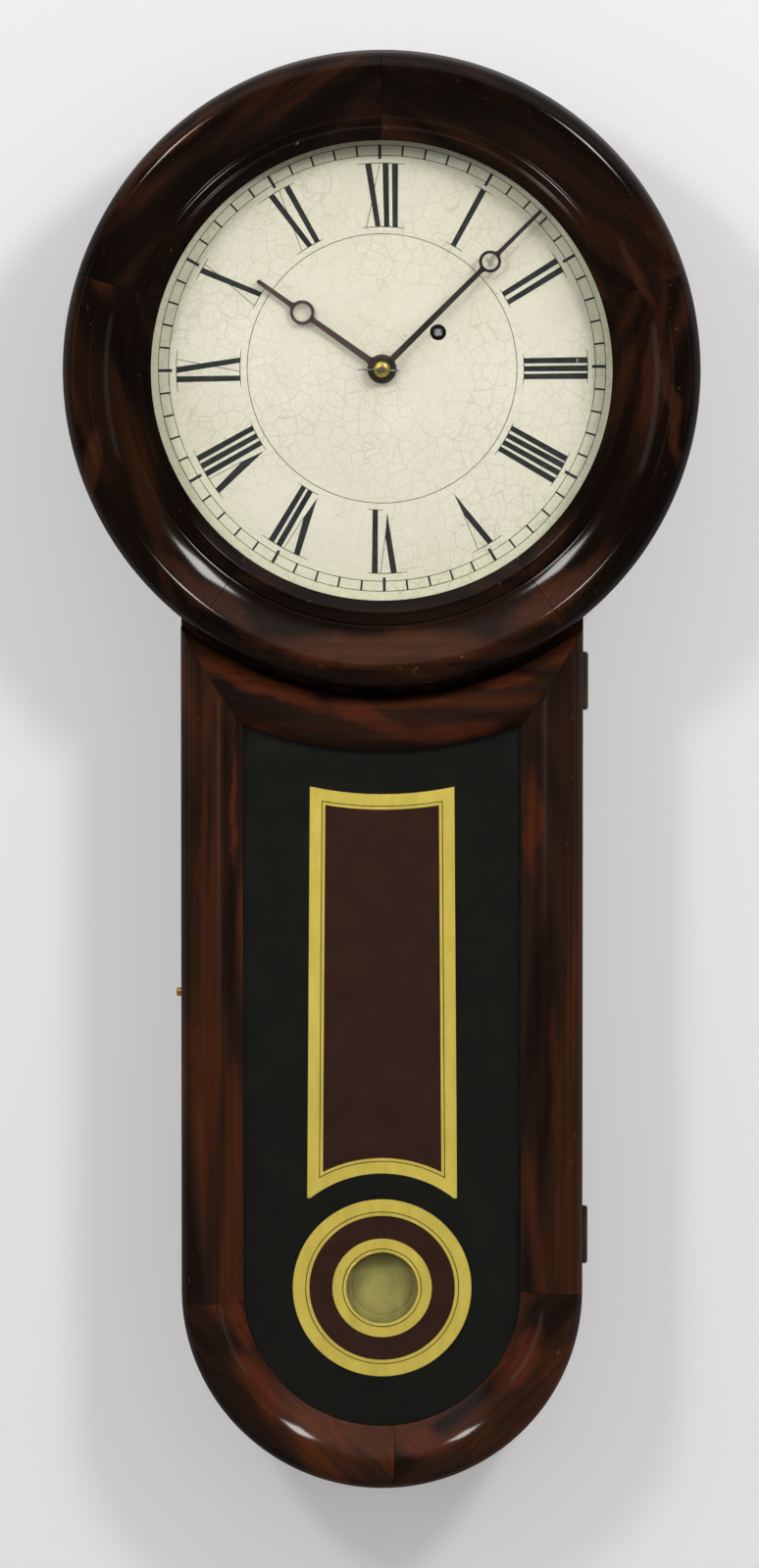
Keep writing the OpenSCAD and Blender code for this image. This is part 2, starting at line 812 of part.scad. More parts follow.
module winding_arbor() {
  color(steel) hung() at(wind_x, wind_z) {
    bar(0, 0, wind_r, back_rear, 74);
    slab(74, 83) square(3.6, center = true);
  }
}

module ratchet_wheel() {
  color(steel) hung() at(wind_x, wind_z) slab(ratchet_y, great_y - 0.4) difference() {
    polygon([for (i = [0:ratchet_teeth - 1]) for (q = [[0, ratchet_r], [8.6, ratchet_r - 1.3]])
      [q[1] * cos(i * 9 + q[0]), q[1] * sin(i * 9 + q[0])]]);
    circle(r = wind_r);
  }
}

module click() {
  color(steel) hung() at(wind_x, wind_z) {
    slab(ratchet_y, great_y) polygon([[click_at[0] - 3, click_at[1] + 1], [click_at[0] + 1, click_at[1] + 3],
      [click_at[0] + 3, click_at[1] - 1], [11.6, -3.6], [10.75, -2.2], [13, 1.5]]);
    at(click_at[0], click_at[1]) bar(0, 0, 1.8, ratchet_y - 0.8, ratchet_y);
  }
}

module click_spring() {
  color(brass) hung() at(wind_x, wind_z) {
    slab(ratchet_y + 0.3, great_y - 0.3) difference() {
      intersection() {
        difference() {
          circle(r = 25);
          circle(r = 24.3);
        }
        polygon([[0, 0], [40, -20], [40, 13], [0, 0]]);
      }
    }
    slab(ratchet_y + 0.3, great_y) rotate(-24) translate([24.6, 0]) circle(r = 1.8);
  }
}

module great_wheel() {
  color(brass) hung() at(wind_x, wind_z) slab(great_y, great_y + 2) difference() {
    rotate(great_phase) polygon(wheel_points(great_teeth, great_mod));
    circle(r = wind_r + run);
  }
}

// Going train
module centre_arbor() {
  color(steel) hung() difference() {
    union() {
      bar(0, 0, arbor_r, back_rear + 0.2, 97.5);
      pinion(leaves, great_mod, centre_pinion_phase, 0, great_y - 1, great_y + 3);
    }
    taper_pin();
  }
}

module centre_wheel() {
  color(brass) hung() spoked_wheel(centre_teeth, centre_mod, 0, 4, arbor_r, centre_wheel_y);
}

module third_wheel() {
  color(brass) hung() at(third_x, third_z) {
    arbor(1.1, pivot_r);
    pinion(leaves, centre_mod, third_pinion_phase, 0, centre_wheel_y - 1.5, centre_wheel_y + 3.5);
    spoked_wheel(third_teeth, third_mod, 0, 4, 1, third_wheel_y);
    bar(0, 0, 3, third_wheel_y + wheel_t, third_wheel_y + wheel_t + 1.2);
  }
}

module escape_outline() {
  difference() {
    polygon([for (i = [0:escape_teeth - 1]) for (q = [[0, escape_r], [0.9, escape_r], [2.2, escape_r - 3.2],
      [8.2, escape_r - 3.2]]) [q[1] * cos(i * 12 + q[0]), q[1] * sin(i * 12 + q[0])]]);
    crossings(escape_r - 4.6, 3.2, 5, 1.3);
  }
}

module escape_wheel() {
  color(brass) hung() at(escape_x, escape_z) {
    arbor(1.1, pivot_r);
    pinion(leaves, third_mod, escape_pinion_phase, 0, third_wheel_y - 1.5, third_wheel_y + 3.5);
    slab(escape_y, escape_y + 1.4) escape_outline();
  }
}

// Escapement
// Dead-beat anchor over a quarter of the escape wheel, drawn about the pallet arbor

module pallet_arm(side) {
  rotate(pallet_dir + side * arm_half) {
    translate([-1, -1.3]) square([escape_r, 2.6]);
    translate([escape_r - 3.2, side > 0 ? -1.9 : 0]) square([2.2, 1.9]);
  }
}

module pallets() {
  color(steel) hung() at(0, pallet_z) {
    bar(0, 0, 1.1, back_plate_y + 0.3, front_rear - 0.3);
    bar(0, 0, pivot_r, back_rear + 0.2, 57.5);
    slab(escape_y, escape_y + 1.4) difference() {
      union() {
        circle(r = 3.4);
        for (side = [-1, 1]) pallet_arm(side);
      }
      circle(r = 1);
    }
  }
}

module crutch() {
  color(steel) hung() at(0, pallet_z) {
    slab(54.4, 55.6) difference() {
      union() {
        circle(r = 3);
        translate([-1.2, -fork_drop]) square([2.4, fork_drop]);
        translate([-stick_w / 2 - 1.7, -fork_drop - 3]) square([stick_w + 3.4, 4]);
      }
      circle(r = pivot_r);
    }
    for (side = [-1, 1]) slab(55.6, stick_y + stick_t + 1) translate([side * (stick_w / 2 + 0.9), -fork_drop - 1])
      square([1.6, 4], center = true);
  }
}

// Motion work behind the dial

module cannon_pinion() {
  color(steel) hung() {
    slab(68, 71) difference() {
      polygon(leaf_points(14, 0.6));
      circle(r = arbor_r);
    }
    slab(71, 91.5) difference() {
      circle(r = pipe_r);
      circle(r = arbor_r);
    }
  }
}

module minute_wheel() {
  color(brass) hung() at(stud_x, stud_z) {
    slab(68.2, 69.8) difference() {
      rotate(minute_wheel_phase) polygon(wheel_points(42, 0.6));
      crossings(10, 4.8, 4, 2);
      circle(r = 1.4 + run);
    }
    pinion(12, 0.56, 0, 1.4 + run, 69.8, 75.5);
  }
}

module hour_wheel() {
  color(brass) hung() {
    slab(72.6, 74.2) difference() {
      rotate(hour_wheel_phase) polygon(wheel_points(48, 0.56));
      crossings(11, 5.4, 4, 2);
      circle(r = pipe_r + run);
    }
    slab(74.2, 89.6) difference() {
      circle(r = 4);
      circle(r = pipe_r + run);
    }
  }
}

// Pendulum

module suspension_cock() {
  color(brass) hung() at(0, pallet_z) difference() {
    union() {
      slab(front_face, front_face + 3) translate([-9, 4]) square([18, 14]);
      slab(front_face + 3, 66) translate([-4.5, 6]) square([9, 9]);
      slab(stick_y - 1.5, 66) translate([-3.5, 0.6]) square([7, 6]);
    }
    slab(stick_y - 3, 67) translate([-slit / 2, -1]) square([slit, 8]);
    for (x = [-6.5, 6.5]) bar(x, 11, 1.2, front_face - 1, front_face + 4);
  }
}

module suspension_spring() {
  color(steel) hung() at(0, pallet_z) {
    slab(stick_y - 0.5, stick_y + stick_t + 0.5) translate([-0.1, -10]) square([0.2, 13]);
  }
}

// Outline of the wooden stick with the loop that passes round the centre arbor
module stick_outline() {
  difference() {
    union() {
      translate([-stick_w / 2, bob_z - bob_r - 24]) square([stick_w, stick_top - bob_z + bob_r + 24]);
      circle(r = loop_out);
    }
    circle(r = loop_in);
  }
}

module pendulum_rod() {
  color("#8a6a3c") hung() {
    slab(stick_y, stick_y + stick_t) stick_outline();
    slab(stick_y - 0.6, stick_y + stick_t + 0.6) difference() {
      translate([-3.2, stick_top - 3]) square([6.4, 9.5]);
      translate([-0.1, stick_top + 4]) square([0.2, 5]);
    }
    translate([0, -bob_y, bob_z - bob_r - 30]) cylinder(r = 1.4, h = 10);
  }
}

module pendulum_bob() {
  color("#b9ab62") hung() translate([0, -bob_y, bob_z]) difference() {
    rotate([90, 0, 0]) rotate_extrude(angle = 360) polygon(concat(
      [[0, -bob_t / 2], [bob_flat, -bob_t / 2]],
      [for (i = [1:7]) [bob_flat + (bob_r - bob_flat) * sin(12 * i), -bob_t / 2 * (0.22 + 0.78 * cos(12 * i))]],
      [[bob_r, -1.2], [bob_r, 1.2]],
      [for (i = [7:-1:1]) [bob_flat + (bob_r - bob_flat) * sin(12 * i), bob_t / 2 * (0.22 + 0.78 * cos(12 * i))]],
      [[bob_flat, bob_t / 2], [0, bob_t / 2]]));
    translate([-stick_w / 2 - 0.05, -stick_t / 2 - 0.05, -bob_r - 1])
      cube([stick_w + 0.1, stick_t + 0.1, 2 * bob_r + 2]);
  }
}

module rating_nut() {
  color(brass) hung() translate([0, -bob_y, bob_z - bob_r - 27.5]) difference() {
    cylinder(r = 7, h = 3.5);
    translate([0, 0, -1]) cylinder(r = 1.4, h = 6);
    for (i = [0:23]) rotate(i * 15) translate([7, -0.3, -1]) cube([1, 0.6, 6]);
  }
}

// Weight

module weight() {
  color("#2b2b2b") hung() difference() {
    union() {
      slab(weight_y - weight_d / 2, weight_y + weight_d / 2) {
        translate([-weight_w / 2, weight_top - weight_h + 6]) square([weight_w, weight_h - 6 - 12]);
        translate([-weight_w / 2 + 6, weight_top - weight_h]) square([weight_w - 12, 7]);
        for (s = [-1, 1]) translate([s * (weight_w / 2 - 6), weight_top - weight_h + 6]) circle(r = 6);
        polygon([[-weight_w / 2, weight_top - 12], [weight_w / 2, weight_top - 12], [10, weight_top], [-10, weight_top]]);
      }
    }
    bar(0, weight_top - 6, 2, weight_y - weight_d, weight_y + weight_d);
    slab(weight_y - 1.6, weight_y + 1.6) translate([-6.2, weight_top - 14]) square([12.4, 15]);
  }
}

module weight_stirrup() {
  color(steel) hung() {
    slab(weight_y - 1.5, weight_y + 1.5) difference() {
      translate([-6, weight_top - 12]) square([12, 14]);
      translate([0, weight_top - 6]) circle(r = 2);
    }
    bar(0, weight_top - 6, 1.95, weight_y - weight_d / 2, weight_y + weight_d / 2);
    for (y = [weight_y - 7.5, weight_y + 6.3]) slab(y, y + 1.2) difference() {
      hull() {
        translate([-6, weight_top + 1]) square([12, 1]);
        translate([0, -pulley_drop]) circle(r = 4, $fn = 32);
      }
      translate([0, -pulley_drop]) circle(r = 1.5);
    }
    slab(weight_y - 7.5, weight_y + 7.5) translate([-6, weight_top + 0.5]) square([12, 1.6]);
    bar(0, -pulley_drop, 1.5, weight_y - 8.5, weight_y + 8.5);
  }
}

module weight_pulley() {
  color(brass) hung() at(0, -pulley_drop) difference() {
    translate([0, -line_y, 0]) rotate([90, 0, 0]) translate([0, 0, -3]) rotate_extrude()
      polygon([[1.5 + run, 0], [pulley_r + 1.6, 0], [pulley_r + 1.6, 0.8], [groove_r - 0.1, 2],
        [groove_r - 0.1, 4], [pulley_r + 1.6, 5.2], [pulley_r + 1.6, 6], [1.5 + run, 6]]);
    for (i = [0:4]) rotate([0, i * 72, 0]) bar(12, 0, 4, line_y - 4, line_y + 4);
  }
}

module pulley_line() {
  color("#c8b68a") hung() translate([0, -line_y, -pulley_drop]) rotate([90, 0, 0])
    rotate_extrude(start = 180, angle = 180) translate([pulley_r, 0]) circle(r = line_r, $fn = 24);
}

module line_strand(x, z) {
  translate([x, -line_y, -pulley_drop]) cylinder(r = line_r, h = z + pulley_drop, $fn = 24);
}

module weight_line() {
  color("#c8b68a") hung() {
    line_strand(line_x, wind_z);
    line_strand(-line_x, plate_z0 + 2.5);
  }
}

module weight_baffle() {
  color("#8e8f8c") hung() {
    slab(45, 46) translate([-trunk_in, low_z + 40]) square([2 * trunk_in, -low_z - 40 - 92]);
    for (s = [-1, 1]) slab(board_t, 45) translate([s * (trunk_in - 0.5) - 0.5, low_z + 40])
      square([1, -low_z - 40 - 92]);
  }
}

back_board();
head_drum();
trunk_sides();
throat_rail();
dial_board();
hanger_plate();
case_screws();
trunk_door_frame();
trunk_door_glass();
tablet_black();
tablet_gold();
tablet_maroon();
glass_strips();
hinge_case_leaves();
trunk_hinge_leaves();
bezel_hinge_leaf();
hinge_pins();
latch_button();
catch_foot();
catch_spring();
door_strike();
bezel_ring();
bezel_glass();
bezel_putty();
bezel_stud();
dial_pan();
hour_hand();
minute_hand();
hand_collet();
hand_pin();
back_plate();
front_plate();
plate_pillars();
plate_screws();
barrel();
winding_arbor();
ratchet_wheel();
click();
click_spring();
great_wheel();
centre_arbor();
centre_wheel();
third_wheel();
escape_wheel();
pallets();
crutch();
cannon_pinion();
minute_wheel();
hour_wheel();
suspension_cock();
suspension_spring();
pendulum_rod();
pendulum_bob();
rating_nut();
weight();
weight_stirrup();
weight_pulley();
weight_line();
pulley_line();
weight_baffle();
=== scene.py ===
# Wall regulator clock: finishes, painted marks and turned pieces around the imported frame.
import math
import bmesh
import bpy
import numpy as np
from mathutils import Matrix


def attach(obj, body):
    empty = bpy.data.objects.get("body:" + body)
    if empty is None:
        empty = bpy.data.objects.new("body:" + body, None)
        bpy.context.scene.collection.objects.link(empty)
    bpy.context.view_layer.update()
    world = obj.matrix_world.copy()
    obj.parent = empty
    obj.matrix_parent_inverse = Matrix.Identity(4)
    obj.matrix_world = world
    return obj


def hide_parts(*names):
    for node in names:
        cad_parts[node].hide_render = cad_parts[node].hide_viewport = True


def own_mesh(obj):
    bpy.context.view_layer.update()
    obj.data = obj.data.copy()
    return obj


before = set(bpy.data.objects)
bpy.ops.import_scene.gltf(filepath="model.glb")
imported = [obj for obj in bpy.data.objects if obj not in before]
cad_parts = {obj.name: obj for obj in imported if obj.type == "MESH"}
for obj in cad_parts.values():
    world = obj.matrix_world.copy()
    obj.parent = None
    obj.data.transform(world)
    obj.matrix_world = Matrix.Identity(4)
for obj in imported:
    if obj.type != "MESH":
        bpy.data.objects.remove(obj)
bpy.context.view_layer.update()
mm = 0.001

# Places shared by the pieces, in mm about the centre of the dial; the frame's origin is the hanger hole
clock = {
    "dialDrop": 130.0,        # dial centre below the hanger hole
    "windowDrop": 510.5,      # centre of the round window below the dial centre
    "doorBack": 78.4,         # closing plane of both doors, in front of the wall
    "trunkHalf": 110.8,
}


# Helpers

def hexToLinear(code):
    # sRGB hex to the linear colour that a shader socket takes
    values = [int(code[i:i + 2], 16) / 255 for i in (1, 3, 5)]
    return tuple(v / 12.92 if v <= 0.04045 else ((v + 0.055) / 1.055) ** 2.4 for v in values) + (1.0,)


def addNode(tree, kind, settings=None, **inputs):
    # one shader node: settings are its properties, or a colour ramp's stops of (place, hex or grey value);
    # inputs are values or the sockets that feed it, each called by its name or by i and its number
    node = tree.nodes.new("ShaderNode" + kind)
    for name, value in (settings or {}).items():
        if name != "stops":
            setattr(node, name, value)
            continue
        elements = node.color_ramp.elements
        elements.remove(elements[1])
        for index, (place, tone) in enumerate(value):
            element = elements.new(place) if index else elements[0]
            element.position = place
            element.color = hexToLinear(tone) if isinstance(tone, str) else (tone, tone, tone, 1.0)
    for name, value in inputs.items():
        key = int(name[1:]) if name[0] == "i" and name[1:].isdigit() else name.replace("_", " ")
        if isinstance(value, bpy.types.NodeSocket):
            tree.links.new(value, node.inputs[key])
        else:
            node.inputs[key].default_value = value
    return node


def newMaterial(name, **settings):
    # principled material with constant settings; returns material, tree and shader
    material = bpy.data.materials.new(name)
    material.use_nodes = True
    tree = material.node_tree
    shader = tree.nodes["Principled BSDF"]
    for key, value in settings.items():
        shader.inputs[key.replace("_", " ")].default_value = value
    return material, tree, shader


def join(tree, source, shader, socket):
    # feeds a socket of a shader that is there already
    tree.links.new(source, shader.inputs[socket])


def meshObject(name, points, faces, body, material, replaced=(), smooth=True, sharpAngle=None):
    # points in mm about the dial centre, x right, y into the wall, z up
    points = np.asarray(points, float).reshape(-1, 3) * mm
    points[:, 2] -= clock["dialDrop"] * mm
    mesh = bpy.data.meshes.new(name)
    mesh.from_pydata(points.tolist(), [], faces)
    mesh.validate()
    mesh.update()
    piece = bpy.data.objects.new(name, mesh)
    bpy.context.scene.collection.objects.link(piece)
    mesh.polygons.foreach_set("use_smooth", [smooth] * len(mesh.polygons))
    if sharpAngle:
        mesh.set_sharp_from_angle(angle=math.radians(sharpAngle))
    mesh.materials.append(material)
    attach(piece, body)
    if replaced:
        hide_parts(*replaced)
    return piece


def gridFaces(rows, columns, closeRows=False, closeColumns=False):
    # quads of a grid whose points run column by column within a row
    i = np.arange(rows if closeRows else rows - 1)
    j = np.arange(columns if closeColumns else columns - 1)
    a, b = (index.ravel() for index in np.meshgrid(i, j, indexing="ij"))
    a2, b2 = (a + 1) % rows, (b + 1) % columns
    return np.stack([a * columns + b, a * columns + b2, a2 * columns + b2, a2 * columns + b], axis=1).tolist()


def barFaces(rows, columns):
    # skin of a bar of closed sections, then a flat cap at each end
    caps = [list(range(columns))[::-1], [(rows - 1) * columns + k for k in range(columns)]]
    return gridFaces(rows, columns, closeColumns=True) + caps


def facesOutward(points, faces):
    # a solid's volume is a sixth of the sum of a . (b x c) over its triangles; below 0 all turn round
    fans = np.array([(f[0], f[k], f[k + 1]) for f in faces for k in range(1, len(f) - 1)])
    a, b, c = (points[fans[:, k]] for k in range(3))
    return faces if np.sum(a * np.cross(b, c)) > 0 else [f[::-1] for f in faces]


def turnedSolid(profile, steps, centre=(0, 0)):
    # a closed profile of (radius, depth in front of the wall) turned about the line through centre along y:
    # x is radius times cos a, z is radius times sin a and y is minus the depth
    radius, depth = np.asarray(profile, float).T[:, None, :]
    a = np.linspace(0, 2 * math.pi, steps, endpoint=False)[:, None]
    grid = np.stack([centre[0] + radius * np.cos(a), -depth + 0 * a, centre[1] + radius * np.sin(a)], axis=2)
    points = grid.reshape(-1, 3)
    return points, facesOutward(points, gridFaces(steps, len(profile), True, True))


def arcPoints(cx, cy, radius, start, end, steps):
    # arc about (cx, cy) from start to end, in degrees anticlockwise
    a = np.radians(np.linspace(start, end, steps + 1))
    return np.stack([cx + radius * np.cos(a), cy + radius * np.sin(a)], axis=1)


def outlineArea(outline):
    # twice the area inside, positive where the outline runs anticlockwise
    x, y = outline[:, 0], outline[:, 1]
    return np.sum(x * np.roll(y, -1) - np.roll(x, -1) * y)


# Materials: a pattern's scale is 1000 over the size in mm of what it draws

rosewood = {
    "streak": "#120C0A",
    "worn": "#8E745C",
    "figureLength": 150.0,    # mm along the grain
    "figureWidth": 23.0,
    "streakLength": 240.0,
    "streakWidth": 2.6,       # drawn about twice as coarse as the real pores, so that it shows
    "roughness": 0.34,
}

# red-brown flames, as (x, z, half length, half width, tilt, strength): mm from the hanger hole, degrees from
# level. Most are the wood's red figure. The first three on the bezel, at the bottom and the lower sides of
# the ring, and the one at (-118, -10) on its upper-left outer band are painted light: the warm brown sheen of
# faces that turn up to the lamps
flameAndSheenPlaces = {
    # bezel: the first three and (-118, -10) are painted sheen, the rest red figure
    "bezel": [(0, -281, 75, 11, 0, 0.75), (-95, -255, 40, 7, -40, 0.4), (95, -252, 45, 8, 42, 0.5),
              (150, -120, 50, 5, 84, 0.35), (158, -150, 34, 4, 96, 0.4), (139, -75, 26, 3.5, 118, 0.45),
              (-118, -10, 50, 4, 44, 0.35), (-160, -185, 26, 5, 80, 0.4)],
    "door": [(-60, -305.5, 36, 6.5, -18.7, 0.9), (-5, -324, 34, 7, -20.6, 0.9), (40, -330, 26, 6.5, 11, 0.9),
             (66, -302.6, 20, 4.5, 3, 0.75), (-80.5, -373, 36, 2.6, 90, 0.8), (84, -380, 34, 5, 88, 0.8),
             (-99, -400, 60, 3, 90, 0.35), (96, -520, 50, 3, 90, 0.3),
             (-78, -658, 20, 6, -75, 0.75), (-68, -694, 26, 9, -57, 0.8), (78, -678, 24, 10, 55, 0.8),
             (22, -726, 18, 8, 8, 0.8)],
}


def flameAndSheenMask(tree, flamesAndSheen):
    # soft patches, red figure in most places and painted sheen in the places that the list marks as such:
    # the distance from a flame's middle, measured in its half length and half width, fades out between 0.45
    # and
    # 1.15 of them; slow noise of 45 mm makes their edges sway by up to 11 mm
    place = addNode(tree, "TexCoord").outputs["Object"]
    sway = addNode(tree, "TexNoise", Vector=place, Scale=22.0, Detail=3.0, Roughness=0.55)
    shifted = addNode(tree, "VectorMath", {"operation": "MULTIPLY_ADD"}, i0=sway.outputs["Color"],
                      i1=(0.022, 0, 0.022), i2=(-0.011, 0, -0.011)).outputs[0]
    place = addNode(tree, "VectorMath", {"operation": "ADD"}, i0=place, i1=shifted).outputs[0]
    place = addNode(tree, "VectorMath", {"operation": "MULTIPLY"}, i0=place, i1=(1, 0, 1)).outputs[0]
    total = None
    for x, z, length, width, tilt, strength in flamesAndSheen:
        local = addNode(tree, "Mapping", {"vector_type": "TEXTURE"}, Vector=place,
                        Location=(x * mm, 0, z * mm), Rotation=(0, -math.radians(tilt), 0),
                        Scale=(length * mm, 1, width * mm)).outputs[0]
        reach = addNode(tree, "VectorMath", {"operation": "LENGTH"}, i0=local).outputs["Value"]
        mask = addNode(tree, "MapRange", {"interpolation_type": "SMOOTHSTEP"}, Value=reach,
                       i1=1.15, i2=0.45, i3=0.0, i4=strength).outputs[0]
        total = mask if total is None else addNode(tree, "Math", {"operation": "MAXIMUM"}, i0=total,
                                                   i1=mask).outputs[0]
    return total


def polishedRosewood(name, tones, attribute=None, turn=(0, 0, 0), flamesAndSheen=None, flameAndSheenTone=None):
    # French-polished rosewood: tones run from the dark heartwood to the red-brown figure, under thin dark
    # streaks; the thin coat of shellac mirrors the lamps softly. The listed flames lay red-brown patches over
    # the
    # tones: figure, and painted sheen low on the bezel ring
    s = rosewood
    material, tree, shader = newMaterial(name, Roughness=s["roughness"], Specular_IOR_Level=0,
                                         Coat_Weight=0.25, Coat_Roughness=0.1)
    if attribute:
        base = addNode(tree, "Attribute", {"attribute_name": attribute}).outputs["Vector"]
    else:
        base = addNode(tree, "TexCoord").outputs["Object"]
    # the first axis of the turned vector runs along the grain
    along = addNode(tree, "Mapping", Vector=base, Rotation=turn).outputs[0]
    figureScale = (1000 / s["figureLength"], 1000 / s["figureWidth"], 1000 / s["figureWidth"])
    figureMap = addNode(tree, "Mapping", Vector=along, Scale=figureScale).outputs[0]
    figure = addNode(tree, "TexNoise", Vector=figureMap, Scale=1.0, Detail=2.2, Roughness=0.4,
                     Distortion=0.7)
    streakScale = (1000 / s["streakLength"], 1000 / s["streakWidth"], 1000 / s["streakWidth"])
    streakMap = addNode(tree, "Mapping", Vector=along, Scale=streakScale).outputs[0]
    streak = addNode(tree, "TexNoise", Vector=streakMap, Scale=1.0, Detail=3.0, Roughness=0.6, Distortion=0.3)
    body = addNode(tree, "ValToRGB",
                   {"stops": [(0.36, tones[0]), (0.5, tones[1]), (0.58, tones[2]), (0.72, tones[3])]},
                   Fac=figure.outputs["Fac"]).outputs[0]
    # red-brown patches: figure, and painted sheen where the bezel ring turns up to the lamps
    if flamesAndSheen:
        body = addNode(tree, "Mix", {"data_type": "RGBA"}, i0=flameAndSheenMask(tree, flamesAndSheen), i6=body,
                       i7=hexToLinear(flameAndSheenTone)).outputs[2]
    streakMask = addNode(tree, "ValToRGB", {"stops": [(0.36, 0.34), (0.54, 0.0)]},
                         Fac=streak.outputs["Fac"]).outputs[0]
    striped = addNode(tree, "Mix", {"data_type": "RGBA"}, i0=streakMask, i6=body,
                      i7=hexToLinear(s["streak"])).outputs[2]
    # wear along the crests: pale scuffs of 4 by 2 mm where the attribute and a scratch pattern agree
    wear = addNode(tree, "Attribute", {"attribute_name": "wear"}).outputs["Fac"]
    scuffMap = addNode(tree, "Mapping", Vector=base, Scale=(230, 420, 420)).outputs[0]
    scuff = addNode(tree, "TexNoise", Vector=scuffMap, Scale=1.0, Detail=4.0, Roughness=0.7)
    scuffMask = addNode(tree, "ValToRGB", {"stops": [(0.67, 0.0), (0.72, 0.8)]},
                        Fac=scuff.outputs["Fac"]).outputs[0]
    worn = addNode(tree, "Math", {"operation": "MULTIPLY"}, i0=scuffMask, i1=wear).outputs[0]
    colour = addNode(tree, "Mix", {"data_type": "RGBA"}, i0=worn, i6=striped,
                     i7=hexToLinear(s["worn"])).outputs[2]
    join(tree, colour, shader, "Base Color")
    # smears of 30 mm in the gloss, and a ripple of 22 mm in the polish with the pores in it
    smear = addNode(tree, "TexNoise", Vector=base, Scale=35.0, Detail=5.0, Roughness=0.65)
    rough = addNode(tree, "MapRange", Value=smear.outputs["Fac"], i1=0.3, i2=0.7,
                    i3=s["roughness"] - 0.05, i4=s["roughness"] + 0.12).outputs[0]
    join(tree, rough, shader, "Roughness")
    ripple = addNode(tree, "TexNoise", Vector=base, Scale=45.0, Detail=2.0, Roughness=0.5)
    relief = addNode(tree, "Math", {"operation": "MULTIPLY_ADD"}, i0=ripple.outputs["Fac"], i1=0.8,
                     i2=addNode(tree, "Math", {"operation": "MULTIPLY"}, i0=streak.outputs["Fac"],
                                i1=0.05).outputs[0]).outputs[0]
    bump = addNode(tree, "Bump", Strength=0.1, Distance=0.0005, Height=relief)
    join(tree, bump.outputs[0], shader, "Normal")
    return material


def oilDarkenedPine(name):
    # unpolished softwood inside the case: dull brown, with soft year rings 7 mm wide under dust in patches
    material, tree, shader = newMaterial(name, Roughness=0.78)
    base = addNode(tree, "TexCoord").outputs["Object"]
    stretched = addNode(tree, "Mapping", Vector=base, Scale=(140, 140, 7)).outputs[0]
    rings = addNode(tree, "TexNoise", Vector=stretched, Scale=1.0, Detail=4.0, Roughness=0.55, Distortion=0.4)
    dust = addNode(tree, "TexNoise", Vector=base, Scale=22.0, Detail=6.0, Roughness=0.7)
    wood = addNode(tree, "ValToRGB", {"stops": [(0.3, "#3A2416"), (0.5, "#5A3B24"), (0.72, "#74502F")]},
                   Fac=rings.outputs["Fac"]).outputs[0]
    shade = addNode(tree, "ValToRGB", {"stops": [(0.3, 0.55), (0.7, 1.0)]},
                    Fac=dust.outputs["Fac"]).outputs[0]
    dusty = addNode(tree, "Mix", {"data_type": "RGBA", "blend_type": "MULTIPLY"}, i0=0.55, i6=wood,
                    i7=shade).outputs[2]
    join(tree, dusty, shader, "Base Color")
    bump = addNode(tree, "Bump", Strength=0.25, Distance=0.0005, Height=rings.outputs["Fac"])
    join(tree, bump.outputs[0], shader, "Normal")
    return material


# tarnish in patches of 17 mm, wear of 3 mm; both are drawn coarse so that they show
metalWear = {"tarnishScale": 60.0, "wearScale": 300.0, "spread": 0.1, "bump": 0.05}


def metal(name, colours, roughness, metallic=1.0):
    # rolled or cast metal, finished by hand: colours are the clean and the tarnished tone, and handling has
    # left its gloss uneven
    wear = metalWear
    material, tree, shader = newMaterial(name, Metallic=metallic, Roughness=roughness)
    base = addNode(tree, "TexCoord").outputs["Object"]
    tarnish = addNode(tree, "TexNoise", Vector=base, Scale=wear["tarnishScale"], Detail=5.0, Roughness=0.62)
    colour = addNode(tree, "ValToRGB", {"stops": [(0.32, colours[1]), (0.62, colours[0])]},
                     Fac=tarnish.outputs["Fac"]).outputs[0]
    join(tree, colour, shader, "Base Color")
    worn = addNode(tree, "TexNoise", Vector=base, Scale=wear["wearScale"], Detail=3.0, Roughness=0.7)
    rough = addNode(tree, "MapRange", Value=worn.outputs["Fac"], i1=0.3, i2=0.7,
                    i3=roughness - wear["spread"], i4=roughness + wear["spread"]).outputs[0]
    join(tree, rough, shader, "Roughness")
    bump = addNode(tree, "Bump", Strength=wear["bump"], Distance=0.0002, Height=worn.outputs["Fac"])
    join(tree, bump.outputs[0], shader, "Normal")
    return material


def sheetGlass(name):
    # drawn soda-lime window glass: clear with a trace of green, and uneven in waves of 110 mm
    material, tree, shader = newMaterial(name, Base_Color=hexToLinear("#FBFDFA"), Roughness=0.0,
                                         Transmission_Weight=1.0, IOR=1.5)
    base = addNode(tree, "TexCoord").outputs["Object"]
    wave = addNode(tree, "TexNoise", Vector=base, Scale=9.0, Detail=1.0)
    bump = addNode(tree, "Bump", Strength=0.02, Distance=0.001, Height=wave.outputs["Fac"])
    join(tree, bump.outputs[0], shader, "Normal")
    # lamps shine through the pane on to what lies behind it
    clear = addNode(tree, "BsdfTransparent", Color=hexToLinear("#F4F6F2"))
    choice = addNode(tree, "MixShader", i0=addNode(tree, "LightPath").outputs["Is Shadow Ray"],
                     i1=shader.outputs[0], i2=clear.outputs[0])
    tree.links.new(choice.outputs[0], tree.nodes["Material Output"].inputs["Surface"])
    return material


def backPaint(name, colours, brushScale=(60, 60, 60)):
    # oil paint laid on the back of glass: flat and even from the front, with faint brush marks in its tone
    material, tree, shader = newMaterial(name, Roughness=0.6, Specular_IOR_Level=0.0)
    base = addNode(tree, "TexCoord").outputs["Object"]
    brushMap = addNode(tree, "Mapping", Vector=base, Scale=brushScale).outputs[0]
    brush = addNode(tree, "TexNoise", Vector=brushMap, Scale=1.0, Detail=6.0, Roughness=0.65)
    colour = addNode(tree, "ValToRGB", {"stops": [(0.3, colours[0]), (0.7, colours[1])]},
                     Fac=brush.outputs["Fac"]).outputs[0]
    join(tree, colour, shader, "Base Color")
    return material


